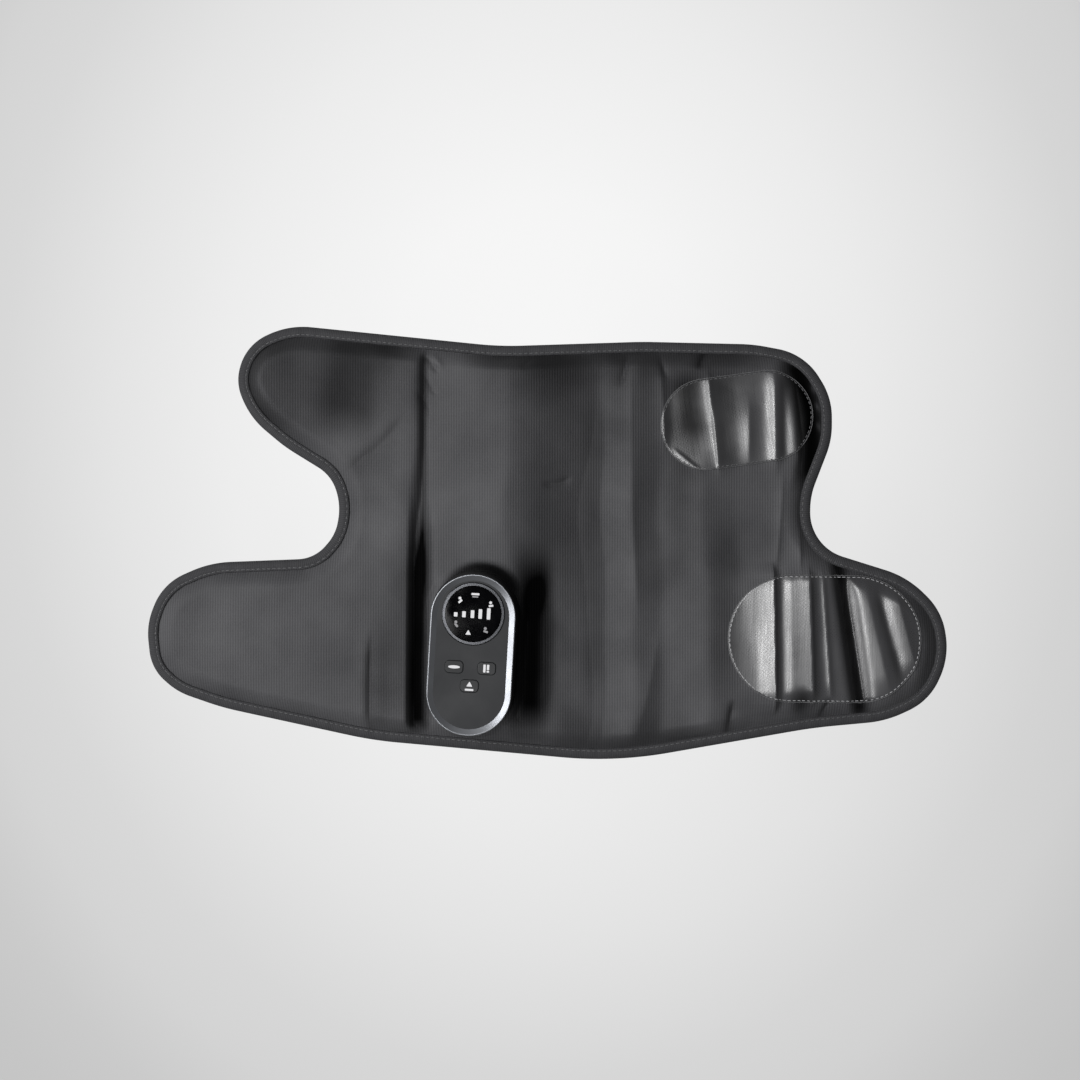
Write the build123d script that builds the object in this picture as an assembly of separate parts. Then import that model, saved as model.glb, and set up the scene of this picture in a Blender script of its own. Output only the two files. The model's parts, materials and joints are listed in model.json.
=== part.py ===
"""Air compression leg massager: a flat calf wrap of padded panels with a pump controller on its front.

The wrap lies open with its lining on z = 0 and its outer fabric up. +X runs along the wrap toward the
right tab, +Y across it toward its upper edge. Every size is in millimetres.
"""

import os
from math import atan2, degrees

from build123d import *

os.makedirs("parts", exist_ok=True)

# Edge of the wrap: each corner's place and the radius it is rounded with, starting at the upper
# strap's tip and going down the left side, along the lower edge and back along the upper edge.
wrap_corners = [
    (-191, 161, 60),
    (-223, 146, 36),
    (-230, 118, 33),
    (-219.5, 92.5, 60),
    (-194, 71, 120),
    (-160, 50, 30),
    (-152.5, 28.5, 45),
    (-156.5, 6.5, 32),
    (-172, -11.5, 28),
    (-249, -14.5, 80),
    (-284, -30, 42),
    (-296, -60, 50),
    (-292.5, -93, 34),
    (-273, -110, 50),
    (-240, -121.5, 200),
    (-129, -145.7, 300),
    (50, -161.8, 300),
    (196, -136.5, 400),
    (250, -131.5, 80),
    (282, -116.5, 45),
    (296.5, -84.5, 55),
    (291.5, -50.5, 48),
    (265.5, -25, 70),
    (205, -6, 34),
    (193.8, 14, 34),
    (194.2, 35, 55),
    (210, 76, 60),
    (210, 107, 50),
    (190, 139.5, 45),
    (152, 146.7, 120),
    (70, 148.6, 300),
    (-35, 145.2, 250),
]

# Seams the wrap folds along. Each is a line parallel to Y.
seam_straps = -161
seam_left = -94
seam_middle = 0
seam_right = 72
seam_tab = 224
seam_gap = 0.3
strap_split = 22
far = 320

# Layers of the wrap, bottom to top.
lining_cloth = 0.8
edge_seam_bottom = lining_cloth
edge_seam_middle = edge_seam_bottom + 1.0
edge_seam_top = edge_seam_middle + 1.0
binding_height = 3.6
binding_width = 8.0
binding_cloth = 1.2
pad_inset = 8.5
pad_seam_inset = 2.5
pad_corner = 10
pad_roundness = 6
pad_height = 9
pad_side_height = 8
pad_middle_height = 10.4
cover_cloth = 1.0
bladder_top = 5

# Hook patches on the outer fabric and loop patches under the straps.
hook_thickness = 0.9
upper_hook_length = 113
upper_hook_width = 67
upper_hook_place = (138.9, 89.9, 8)
lower_hook_length = 142.5
lower_hook_width = 93.6
lower_hook_place = (202.4, -70.2, -1)
upper_loop_size = (40, 46, 12)
upper_loop_place = (-191, 115)
lower_loop_size = (80, 62, 16)
lower_loop_place = (-235, -68)

# Controller: where it sits on the wrap, and how far it leans.
controller_x = -54.2
controller_y = -78.9
controller_lean = -3.2
base_width = 63
base_length = 117
base_foot_radius = 3
top_setback = 1.5
top_width = base_width - 2 * top_setback
top_length = base_length - 2 * top_setback
wall = 2
base_floor_top = pad_height + wall
parting_height = 21
plate_bottom = 36
plate_top = 37.6
housing_taper = degrees(atan2(top_setback, plate_top - parting_height))
ring_width = 4.5
ring_lip = 0.8
ring_top = 41.2
gasket_top = 38.4
panel_top = 39.4
cap_top = 40

# Display, buttons and boards of the controller, in its own x and y.
display_y = base_length / 2 - 29.5
lens_radius = top_width / 2 - ring_width - 5.5
lens_top = 39.6
bezel_width = 2.4
bezel_bottom = 38.8
window_radius = lens_radius - 2.5
module_radius = lens_radius - 3
button_places = {"mode": (-11.5, -9), "level": (11.5, -9), "power": (0, -22)}
button_width = 13
button_depth = 9
button_corner = 3
button_lip = 1
button_clearance = 0.15
stem_radius = 2
stem_bottom = 36.85
board_bottom = 32
board_top = 33.6
board_width = base_width - 11
board_length = base_length - 29
plate_width = base_width - 11
plate_length = base_length - 11
stake_x = base_width / 2 - 10
stake_y = base_length / 2 - 30.5
housing_screw_x = 10
housing_screw_y = base_length / 2 - 8.5
clamp_screw_x = base_width / 2 - 12.5
clamp_screw_y = base_length / 2 - 17

# Battery, pump and air line.
battery_radius = 9.2
battery_length = base_length - 52
battery_x = -(base_width / 2 - wall - battery_radius - 1.3)
battery_y = -0.5
motor_radius = 10
motor_length = 25
motor_x = base_width / 2 - 18.5
motor_y = -20.5
pump_head_size = (22, 20, 20)
manifold_size = (22, 4, 8)
valve_size = (10, 16, 14)
valve_columns = (motor_x - 11, motor_x)
valve_back = motor_y + motor_length / 2 + pump_head_size[1] + manifold_size[1] + valve_size[1]
barb_height = 18
hose_radius = 2
hose_bore = 1.4
hose_drop_y = valve_back + 5
hose_run_height = edge_seam_middle + hose_radius + 0.1

# Charging socket, a USB-C receptacle in the lower end of the base.
socket_width = 8.94
socket_height = 3.26
socket_depth = 7.3
socket_setback = 0.4
charge_board_bottom = 13.2
charge_board_top = 14.2
charge_board_front = -(base_length / 2 - 3.5)
charge_board_back = charge_board_front + 12
socket_middle = charge_board_top + socket_height / 2


def wrap_outline(inset):
    """The wrap's edge drawn in by inset, every corner staying concentric with the edge's own."""
    before = wrap_corners[-1:] + wrap_corners[:-1]
    after = wrap_corners[1:] + wrap_corners[:1]
    places = []
    radii = []
    for last, here, following in zip(before, wrap_corners, after):
        corner = Vector(here[0], here[1])
        coming = (corner - Vector(last[0], last[1])).normalized()
        going = (Vector(following[0], following[1]) - corner).normalized()
        inward = Vector(-coming.Y, coming.X) + Vector(-going.Y, going.X)
        places.append(corner + inward * (2 * inset / inward.dot(inward)))
        turns_left = coming.cross(going).Z > 0
        radii.append(here[2] - inset if turns_left else here[2] + inset)
    return make_face(FilletPolyline(*places, radius=radii, close=True))


def box_between(x_from, x_to, y_from, y_to, z_from, z_to):
    """A box given by its faces."""
    middle = Pos((x_from + x_to) / 2, (y_from + y_to) / 2, (z_from + z_to) / 2)
    return middle * Box(x_to - x_from, y_to - y_from, z_to - z_from)


def raised(sketch, z_from, z_to):
    """A flat shape made solid between two heights."""
    return Pos(0, 0, z_from) * extrude(sketch, amount=z_to - z_from)


def disc(radius, z_from, z_to):
    """An upright round between two heights."""
    return raised(Circle(radius), z_from, z_to)


def capsule(width, length):
    """A flat shape with parallel sides along y and round ends."""
    return SlotOverall(length, width, rotation=90)


class WrapPanel:
    """One panel of the wrap between its seams."""

    def __init__(self, name, x_from, x_to, y_from=-far, y_to=far, crowned=True, bladder=False):
        self.name = name
        self.x_from = x_from
        self.x_to = x_to
        self.y_from = y_from
        self.y_to = y_to
        self.crowned = crowned
        self.bladder = bladder

    def flat(self, inset, seam_inset):
        """The panel's outline drawn in from the wrap's edge and from its seams."""
        x_from = self.x_from + seam_inset
        x_to = self.x_to - seam_inset
        middle = Pos((x_from + x_to) / 2, (self.y_from + self.y_to) / 2)
        return wrap_outline(inset) & middle * Rectangle(x_to - x_from, self.y_to - self.y_from)

    def layer(self, inset, z_from, z_to):
        """A flat layer of the panel."""
        return raised(self.flat(inset, seam_gap / 2), z_from, z_to)

    def crown(self, lowered):
        """Everything below the panel's gently arched top."""
        x_from = max(self.x_from, -far)
        x_to = min(self.x_to, far)
        if not self.crowned:
            return box_between(x_from, x_to, -far, far, 0, pad_height - lowered)
        side = pad_side_height - lowered
        middle = ((x_from + x_to) / 2, pad_middle_height - lowered)
        arch = ThreePointArc((x_from, side), middle, (x_to, side))
        rest = Polyline((x_to, side), (x_to, 0), (x_from, 0), (x_from, side))
        return extrude(Plane.XZ * make_face(arch + rest), amount=far, both=True)

    def pad(self, cloth):
        """The padded part of the panel, drawn in by a thickness of cloth on its sides and top."""
        reach = pad_seam_inset + cloth
        block = raised(self.flat(pad_inset + cloth, reach), edge_seam_middle, 2 * pad_middle_height)
        seam_sides = (self.x_from + reach, self.x_to - reach)
        corners = [
            edge
            for edge in block.edges().filter_by(Axis.Z)
            if min(abs(edge.center().X - side) for side in seam_sides) < 0.01
        ]
        block = fillet(corners, pad_corner - cloth) & self.crown(cloth)
        top = block.faces().sort_by(Axis.Z)[-1]
        return fillet(top.edges(), pad_roundness - cloth)

    def surface(self):
        """The panel under its outer fabric's top side, as one solid."""
        return self.pad(0) + self.layer(binding_cloth, edge_seam_middle, edge_seam_top)

    def cover(self):
        """The outer fabric: a flat rim sewn into the binding, and the pad's top and sides."""
        return self.surface() - self.pad(cover_cloth)

    def lining(self):
        """The lining: a rim sewn into the binding, and cloth filling the binding's opening."""
        rim = self.layer(binding_cloth, edge_seam_bottom, edge_seam_middle)
        return rim + self.layer(binding_width, 0, lining_cloth)

    def binding(self):
        """The tape folded round the panel's open edge."""
        ring = self.layer(0, 0, binding_height) - self.layer(binding_width, 0, binding_height)
        return ring - self.layer(binding_cloth, edge_seam_bottom, edge_seam_top)

    def hook_patch(self, outline):
        """A patch of hook tape following the outer fabric."""
        under = self.surface()
        over = Pos(0, 0, hook_thickness) * under
        footprint = outline & self.flat(pad_inset, seam_gap / 2)
        return (over & raised(footprint, 0, 2 * pad_middle_height)) - under


upper_strap = WrapPanel("upper_strap", -far, seam_straps, y_from=strap_split)
lower_strap = WrapPanel("lower_strap", -far, seam_straps, y_to=strap_split)
left_panel = WrapPanel("left_panel", seam_straps, seam_left, bladder=True)
bay = WrapPanel("bay", seam_left, seam_middle, crowned=False)
right_panel = WrapPanel("right_panel", seam_middle, seam_right, bladder=True)
right_wing = WrapPanel("right_wing", seam_right, seam_tab)
right_tab = WrapPanel("right_tab", seam_tab, far)
panels = [upper_strap, lower_strap, left_panel, bay, right_panel, right_wing, right_tab]

on_wrap = Pos(controller_x, controller_y) * Rot(0, 0, controller_lean)
display_centre = Pos(0, display_y)
covers = {panel.name: panel.cover() for panel in panels}
linings = {panel.name: panel.lining() for panel in panels}
pads = {panel.name: panel.pad(cover_cloth) for panel in panels}
parts = {}

# Loop patches, let into the lining so both lie flush on z = 0.
loops = {
    "upper_strap": Pos(*upper_loop_place) * RectangleRounded(*upper_loop_size),
    "lower_strap": Pos(*lower_loop_place) * RectangleRounded(*lower_loop_size),
}
for name, outline in loops.items():
    patch = raised(outline, 0, lining_cloth)
    linings[name] -= patch
    parts[f"{name}_loop_patch"] = patch

# Hook patches. The lower one is cut where the tab folds.
upper_hook = Pos(upper_hook_place[0], upper_hook_place[1]) * SlotOverall(
    upper_hook_length, upper_hook_width, rotation=upper_hook_place[2]
)
lower_hook = Pos(lower_hook_place[0], lower_hook_place[1]) * SlotOverall(
    lower_hook_length, lower_hook_width, rotation=lower_hook_place[2]
)
parts["right_wing_upper_hook_patch"] = right_wing.hook_patch(upper_hook)
parts["right_wing_lower_hook_patch"] = right_wing.hook_patch(lower_hook)
parts["right_tab_hook_patch"] = right_tab.hook_patch(lower_hook)


def hose_rod(column, end, section):
    """A section swept along an air hose's way: out of its valve, down through the floor, sideways."""
    bend = 3
    cut_corner = bend * (1 - 0.5**0.5)
    side = 1 if end > column else -1
    drop = hose_drop_y
    run = hose_run_height
    start = (column, drop - 4.8, barb_height)
    turn_down = (column, drop - bend, barb_height)
    turn_down_middle = (column, drop - cut_corner, barb_height - cut_corner)
    fall = (column, drop, barb_height - bend)
    turn_aside = (column, drop, run + bend)
    turn_aside_middle = (column + side * cut_corner, drop, run + cut_corner)
    aside = (column + side * bend, drop, run)
    way = Line(start, turn_down)
    way += ThreePointArc(turn_down, turn_down_middle, fall)
    way += Line(fall, turn_aside)
    way += ThreePointArc(turn_aside, turn_aside_middle, aside)
    way += Line(aside, (end, drop, run))
    return sweep(Plane(origin=start, z_dir=(0, 1, 0)) * section, path=way)


hose_ends = {valve_columns[0]: -36.5, valve_columns[1]: 47}


def hose_rods(section):
    """Both hoses' ways with one section."""
    rods = [hose_rod(column, end, section) for column, end in hose_ends.items()]
    return rods[0] + rods[1]


def posts(places, radius, z_from, z_to):
    """Equal upright rounds at several places."""
    rounds = [Pos(x, y) * disc(radius, z_from, z_to) for x, y in places]
    return sum(rounds[1:], rounds[0])


def four_corners(x, y):
    """The four places at plus and minus x and y."""
    return [(-x, -y), (x, -y), (-x, y), (x, y)]


stake_places = four_corners(stake_x, stake_y)
housing_screw_places = four_corners(housing_screw_x, housing_screw_y)
clamp_screw_places = four_corners(clamp_screw_x, clamp_screw_y)
hose_places = [(column, hose_drop_y) for column in valve_columns]
hose_holes = posts(hose_places, hose_radius + 0.2, pad_height, base_floor_top)

# Base housing: a shallow tray that stands on the bay, with its cradles, screw posts and ports.
base = raised(capsule(base_width, base_length), pad_height, parting_height)
base = fillet(base.faces().sort_by(Axis.Z)[0].edges(), base_foot_radius)
inside = capsule(base_width - 2 * wall, base_length - 2 * wall)
base -= raised(inside, base_floor_top, parting_height)
tongue = capsule(base_width - wall, base_length - wall) - inside
base += raised(tongue, parting_height, parting_height + 1.5)
base += posts(housing_screw_places, 3.2, base_floor_top, parting_height)
for front in (charge_board_front - 1, charge_board_back - 2):
    base += box_between(-6, 6, front, front + 3, base_floor_top, charge_board_bottom)
battery = Pos(battery_x, battery_y, base_floor_top + battery_radius) * Rot(90, 0, 0)
motor = Pos(motor_x, motor_y, base_floor_top + motor_radius) * Rot(90, 0, 0)
battery_can = battery * Cylinder(battery_radius, battery_length)
motor_can = motor * Cylinder(motor_radius, motor_length)
for rib in (battery_y - battery_length / 3, battery_y + battery_length / 3):
    cradle = box_between(battery_x - 8, battery_x + 8, rib - 1, rib + 1, base_floor_top, 15)
    base += cradle - battery_can
motor_cradle = box_between(motor_x - 8, motor_x + 8, motor_y - 6, motor_y - 4, base_floor_top, 15)
base += motor_cradle - motor_can
base -= posts(housing_screw_places, 2.7, pad_height, pad_height + 1.6)
base -= posts(housing_screw_places, 1.35, pad_height, parting_height)
base -= posts(clamp_screw_places, 1.6, pad_height, base_floor_top)
base -= hose_holes
socket_mouth = Plane.XZ * Pos(0, socket_middle) * SlotOverall(socket_width, socket_height)
base -= extrude(socket_mouth, amount=base_length)
parts["base_housing"] = base

# Top housing: a cap with drafted walls and a plate that carries the panel.
top = Pos(0, 0, parting_height) * extrude(
    capsule(base_width, base_length).face(), amount=plate_top - parting_height, taper=housing_taper
)
hollow = Pos(0, 0, parting_height) * extrude(
    inside.face(), amount=plate_bottom - parting_height, taper=housing_taper
)
top -= hollow
top -= raised(capsule(base_width - wall, base_length - wall), parting_height, parting_height + 1.5)
bosses = posts(housing_screw_places, 3.2, parting_height, plate_bottom)
top += bosses & (hollow + raised(inside, plate_bottom - 8, plate_bottom))
top += posts(stake_places, 2, board_top, plate_bottom)
top += posts(stake_places, 1, board_bottom - 0.6, board_top)
top -= posts(housing_screw_places, 1.25, parting_height, plate_bottom - 5)
top -= display_centre * disc(window_radius, plate_bottom, plate_top)
lip_width = button_width + 2 * button_lip
lip_depth = button_depth + 2 * button_lip
lip_opening = RectangleRounded(lip_width + 0.4, lip_depth + 0.4, button_corner + button_lip)
for x, y in button_places.values():
    top -= Pos(x, y) * raised(lip_opening, plate_bottom, plate_top)
parts["top_housing"] = top

# Trim ring, dished toward the face panel, then the gasket and the panel.
opening = capsule(top_width - 2 * ring_width, top_length - 2 * ring_width)
ring_dish = ring_top - panel_top
ring_slope = degrees(atan2(ring_width - ring_lip, ring_dish))
trim = raised(capsule(top_width, top_length), plate_top, ring_top)
trim = fillet(trim.faces().sort_by(Axis.Z)[-1].edges(), 0.6)
trim -= raised(opening, plate_top, panel_top)
trim -= Pos(0, 0, panel_top) * extrude(opening.face(), amount=ring_dish, taper=-ring_slope)
parts["trim_ring"] = trim
gasket = raised(opening, plate_top, gasket_top)
panel = raised(opening, gasket_top, panel_top)
gasket -= display_centre * disc(lens_radius, plate_top, gasket_top)
panel -= display_centre * disc(lens_radius, gasket_top, panel_top)
panel -= display_centre * disc(lens_radius + bezel_width, bezel_bottom, panel_top)
cap_opening = RectangleRounded(
    button_width + 2 * button_clearance,
    button_depth + 2 * button_clearance,
    button_corner + button_clearance,
)
for x, y in button_places.values():
    gasket -= Pos(x, y) * raised(lip_opening, plate_top, gasket_top)
    panel -= Pos(x, y) * raised(cap_opening, gasket_top, panel_top)
parts["face_gasket"] = gasket
parts["face_panel"] = panel

# Display: a lens in the panel, a ring round it and the light module under it.
lens = disc(lens_radius, plate_top, lens_top)
lens = chamfer(lens.faces().sort_by(Axis.Z)[-1].edges(), 0.3)
parts["display_lens"] = display_centre * lens
bezel = disc(lens_radius + bezel_width, bezel_bottom, cap_top)
bezel = fillet(bezel.faces().sort_by(Axis.Z)[-1].edges(), 0.8)
parts["display_bezel"] = display_centre * (bezel - disc(lens_radius, bezel_bottom, cap_top))
parts["display_board"] = display_centre * disc(module_radius, board_top, plate_top)

# Buttons: a cap through the panel, a lip that stops it from below and a stem over its switch.
cap = raised(RectangleRounded(button_width, button_depth, button_corner), gasket_top, cap_top)
cap = fillet(cap.faces().sort_by(Axis.Z)[-1].edges(), 0.6)
lip = RectangleRounded(lip_width, lip_depth, button_corner + button_lip)
button = cap + raised(lip, gasket_top - 1, gasket_top) + disc(stem_radius, stem_bottom, gasket_top)
switch = box_between(-3, 3, -3, 3, board_top, 35.2) + disc(1.7, 35.2, plate_bottom)
for name, (x, y) in button_places.items():
    parts[f"{name}_button"] = Pos(x, y) * button
parts["button_switches"] = Compound(
    children=[Pos(x, y) * switch for x, y in button_places.values()]
)

# Main board, staked under the plate, with its chips on top.
board = raised(capsule(board_width, board_length), board_bottom, board_top)
board -= posts(stake_places, 1, board_bottom, board_top)
chip_row = 8 - board_length / 2
chips = [(-1, -2, 7, 7), (15, 3, 6, 5), (-11, chip_row, 8, 5), (9, chip_row, 5, 5)]
for x, y, width, depth in chips:
    chip = raised(Rectangle(width, depth), board_top, board_top + 1.1)
    board += Pos(x, y) * chip
parts["main_board"] = board

# Battery, pump, valves and hoses.
nub = battery * Pos(0, 0, -battery_length / 2 - 0.5) * Cylinder(3, 1)
parts["battery"] = fillet(battery_can.edges(), 0.8) + nub
head_width, head_depth, head_height = pump_head_size
head_front = motor_y + motor_length / 2
head_back = head_front + head_depth
head = box_between(
    motor_x - head_width / 2,
    motor_x + head_width / 2,
    head_front,
    head_back,
    base_floor_top,
    base_floor_top + head_height,
)
parts["pump_motor"] = motor_can
parts["pump_head"] = fillet(head.edges().filter_by(Axis.Y), 2)
manifold_width, manifold_depth, manifold_height = manifold_size
manifold_back = head_back + manifold_depth
parts["air_manifold"] = box_between(
    motor_x - head_width / 2,
    motor_x - head_width / 2 + manifold_width,
    head_back,
    manifold_back,
    base_floor_top,
    base_floor_top + manifold_height,
)
valve_width, valve_depth, valve_height = valve_size
valves = []
for column in valve_columns:
    valve = box_between(
        column - valve_width / 2,
        column + valve_width / 2,
        manifold_back,
        valve_back,
        base_floor_top,
        base_floor_top + valve_height,
    )
    barb = Pos(column, valve_back + 1.5, barb_height) * Rot(90, 0, 0) * Cylinder(hose_bore, 3)
    valves.append(valve + barb)
parts["air_valves"] = Compound(children=valves)
parts["air_hoses"] = hose_rods(Circle(hose_radius) - Circle(hose_bore))

# Charging socket on its own small board, in the lower end of the base.
shell = extrude(socket_mouth, amount=socket_depth)
bore = Plane.XZ * Pos(0, socket_middle) * SlotOverall(socket_width - 0.6, socket_height - 0.6)
shell -= Pos(0, -0.8, 0) * extrude(bore, amount=socket_depth)
tongue_plate = box_between(-3.35, 3.35, -5.5, -0.8, socket_middle - 0.35, socket_middle + 0.35)
socket_back = -(base_length / 2 - socket_depth - socket_setback)
parts["charge_socket"] = Pos(0, socket_back, 0) * (shell + tongue_plate)
parts["charge_board"] = box_between(
    -6.4, 6.4, charge_board_front, charge_board_back, charge_board_bottom, charge_board_top
)

# Clamp plate under the outer fabric, and both sets of screws.
clamp_top = pad_height - cover_cloth
clamp_bottom = clamp_top - 2
hose_window = Pos(sum(valve_columns) / 2, hose_drop_y + 1) * RectangleRounded(19, 8, 3)
plate = raised(capsule(plate_width, plate_length), clamp_bottom, clamp_top)
plate -= posts(clamp_screw_places, 1.5, clamp_bottom, clamp_top)
plate -= raised(hose_window, clamp_bottom, clamp_top)
parts["clamp_plate"] = plate
clamp_heads = posts(clamp_screw_places, 2.75, base_floor_top, base_floor_top + 1.6)
clamp_tip = clamp_bottom - 0.5
clamp_shafts = posts(clamp_screw_places, 1.5, clamp_tip, base_floor_top)
parts["clamp_screws"] = clamp_heads + clamp_shafts
housing_heads = posts(housing_screw_places, 2.5, pad_height, pad_height + 1.6)
housing_shafts = posts(housing_screw_places, 1.25, pad_height + 1.6, plate_bottom - 6)
parts["housing_screws"] = housing_heads + housing_shafts

controller = [name for name in parts if "patch" not in name]
for name in controller:
    parts[name] = on_wrap * parts[name]

# The bay's fabric and foam make way for the controller's screws, hoses and clamp plate.
through_cover = posts(clamp_screw_places, 1.6, bladder_top, pad_height)
through_cover += posts(hose_places, hose_radius + 0.2, bladder_top, pad_height)
covers["bay"] -= on_wrap * through_cover
buried = raised(capsule(plate_width, plate_length), clamp_bottom, clamp_top)
buried += posts(clamp_screw_places, 1.5, clamp_tip, clamp_top)
buried += hose_rods(Circle(hose_radius))
pads["bay"] -= on_wrap * buried

for panel in panels:
    pad = pads[panel.name]
    if panel.bladder:
        split = box_between(-far, far, -far, far, 0, bladder_top)
        parts[f"{panel.name}_air_bladder"] = pad & split
        pad -= split
    parts[f"{panel.name}_foam_pad"] = pad
    parts[f"{panel.name}_outer_cover"] = covers[panel.name]
    parts[f"{panel.name}_lining"] = linings[panel.name]
    parts[f"{panel.name}_edge_binding"] = panel.binding()

for name, solid in parts.items():
    export_step(solid, f"parts/{name}.step")
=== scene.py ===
"""Looks of an open air compression leg massager: quilted cloth wrap, hook and loop patches, pump controller.

The wrap lies flat with its lining down, +X toward the right tab and +Y toward the upper edge. Sizes in the
classes are millimetres, and a mesh is turned to metres when it is made.
"""

import json
import logging
import math
from dataclasses import dataclass
from enum import Enum

import bpy
import numpy as np
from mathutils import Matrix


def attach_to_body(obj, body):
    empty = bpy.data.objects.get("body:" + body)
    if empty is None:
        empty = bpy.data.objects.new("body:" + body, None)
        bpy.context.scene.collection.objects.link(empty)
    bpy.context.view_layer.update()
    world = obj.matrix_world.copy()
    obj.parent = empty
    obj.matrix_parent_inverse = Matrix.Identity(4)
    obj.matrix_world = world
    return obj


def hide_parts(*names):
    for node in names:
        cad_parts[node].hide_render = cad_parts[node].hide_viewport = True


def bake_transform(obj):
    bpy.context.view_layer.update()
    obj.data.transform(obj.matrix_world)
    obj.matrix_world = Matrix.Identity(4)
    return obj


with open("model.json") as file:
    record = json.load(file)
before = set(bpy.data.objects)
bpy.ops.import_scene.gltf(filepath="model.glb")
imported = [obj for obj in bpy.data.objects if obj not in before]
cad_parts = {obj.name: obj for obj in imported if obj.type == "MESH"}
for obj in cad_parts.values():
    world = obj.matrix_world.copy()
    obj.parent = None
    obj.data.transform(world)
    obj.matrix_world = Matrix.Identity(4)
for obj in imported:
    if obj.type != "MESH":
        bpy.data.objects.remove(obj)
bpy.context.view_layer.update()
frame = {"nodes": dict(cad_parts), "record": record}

Array = np.ndarray
Place = tuple[float, float]
Tree = bpy.types.NodeTree
Socket = bpy.types.NodeSocket
Material = bpy.types.Material
MM = 0.001
log = logging.getLogger("leg_massager")

# Edge of the wrap: each corner's x and y and the radius it is rounded with, counter-clockwise from the
# upper strap's tip.
WRAP_CORNERS = (
    (-191, 161, 60), (-223, 146, 36), (-230, 118, 33), (-219.5, 92.5, 60), (-194, 71, 120), (-160, 50, 30),
    (-152.5, 28.5, 45), (-156.5, 6.5, 32), (-172, -11.5, 28), (-249, -14.5, 80), (-284, -30, 42),
    (-296, -60, 50), (-292.5, -93, 34), (-273, -110, 50), (-240, -121.5, 200), (-129, -145.7, 300),
    (50, -161.8, 300), (196, -136.5, 400), (250, -131.5, 80), (282, -116.5, 45), (296.5, -84.5, 55),
    (291.5, -50.5, 48), (265.5, -25, 70), (205, -6, 34), (193.8, 14, 34), (194.2, 35, 55), (210, 76, 60),
    (210, 107, 50), (190, 139.5, 45), (152, 146.7, 120), (70, 148.6, 300), (-35, 145.2, 250),
)
# Where the straps are cut from the left panel, and the wing and the tab from the right panel.
STRAP_CUT = -125.0
WING_CUT = 130.0
# How far a grid stops short of a round end, where its chord would shrink to a point.
END_GAP = 0.02


class Side(Enum):
    """Stretches of the wrap's edge between its left-most and right-most places, in the order they come."""

    UPPER_STRAP_UNDER = 0
    LOWER_STRAP_OVER = 1
    BOTTOM = 2
    TAB_OVER = 3
    WING_UNDER = 4
    TOP = 5


def smooth(value: Array) -> Array:
    """An ease from 0 to 1: three times the square less twice the cube of the value kept within 0 and 1."""
    kept = np.clip(value, 0.0, 1.0)
    return kept * kept * (3.0 - 2.0 * kept)


def turned(u: Array, v: Array, degrees: float, x: float, y: float) -> tuple[Array, Array]:
    """Turns places about the origin and then moves the origin to x and y."""
    c, s = math.cos(math.radians(degrees)), math.sin(math.radians(degrees))
    return x + c * u - s * v, y + s * u + c * v


def unit(rows: Array) -> Array:
    """Rows of x and y brought to a length of one."""
    return rows / np.hypot(*rows.T)[:, None]


def leftward(rows: Array) -> Array:
    """Rows of x and y turned a quarter to the left."""
    return np.stack([-rows[:, 1], rows[:, 0]], axis=1)


def travel_along(line: Array) -> Array:
    """Distance from a line's first point to each of its points."""
    return np.concatenate([[0.0], np.cumsum(np.hypot(*np.diff(line, axis=0).T))])


def points_along(line: Array, marks: Array, places: Array) -> Array:
    """Points of a line at places between the marks that its own points have."""
    return np.stack([np.interp(places, marks, line[:, k]) for k in (0, 1)], axis=1)


def linear(hex_colour: str) -> tuple[float, float, float, float]:
    """Turns a written sRGB colour into the linear red, green, blue and alpha that a shader takes."""
    channels = [int(hex_colour[at : at + 2], 16) / 255 for at in (1, 3, 5)]
    flat = [c / 12.92 if c <= 0.04045 else ((c + 0.055) / 1.055) ** 2.4 for c in channels]
    return (*flat, 1.0)


def eased_steps(start: float, end: float, step: float, ease_start: bool, ease_end: bool) -> Array:
    """Places from start to end that crowd together at an eased end, where a round edge turns upright.

    Args:
        start: first place.
        end: last place.
        step: about the widest step.
        ease_start: whether places crowd at the start.
        ease_end: whether places crowd at the end.

    Returns:
        The places in order.
    """
    longer = 1.0 + 0.57 * (ease_start or ease_end)
    count = max(8, int(abs(end - start) * longer / step))
    share = np.linspace(0.0, 1.0, count + 1)
    if ease_start and ease_end:
        share = (1.0 - np.cos(math.pi * share)) / 2.0
    elif ease_start:
        share = 1.0 - np.cos(math.pi / 2.0 * share)
    elif ease_end:
        share = np.sin(math.pi / 2.0 * share)
    return start + (end - start) * share


def quads_of(numbers: Array) -> Array:
    """Four point numbers for each face of a grid, toward the reader with rows up and columns right."""
    corners = (numbers[:-1, :-1], numbers[1:, :-1], numbers[1:, 1:], numbers[:-1, 1:])
    return np.stack([c.ravel() for c in corners], axis=1)


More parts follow.
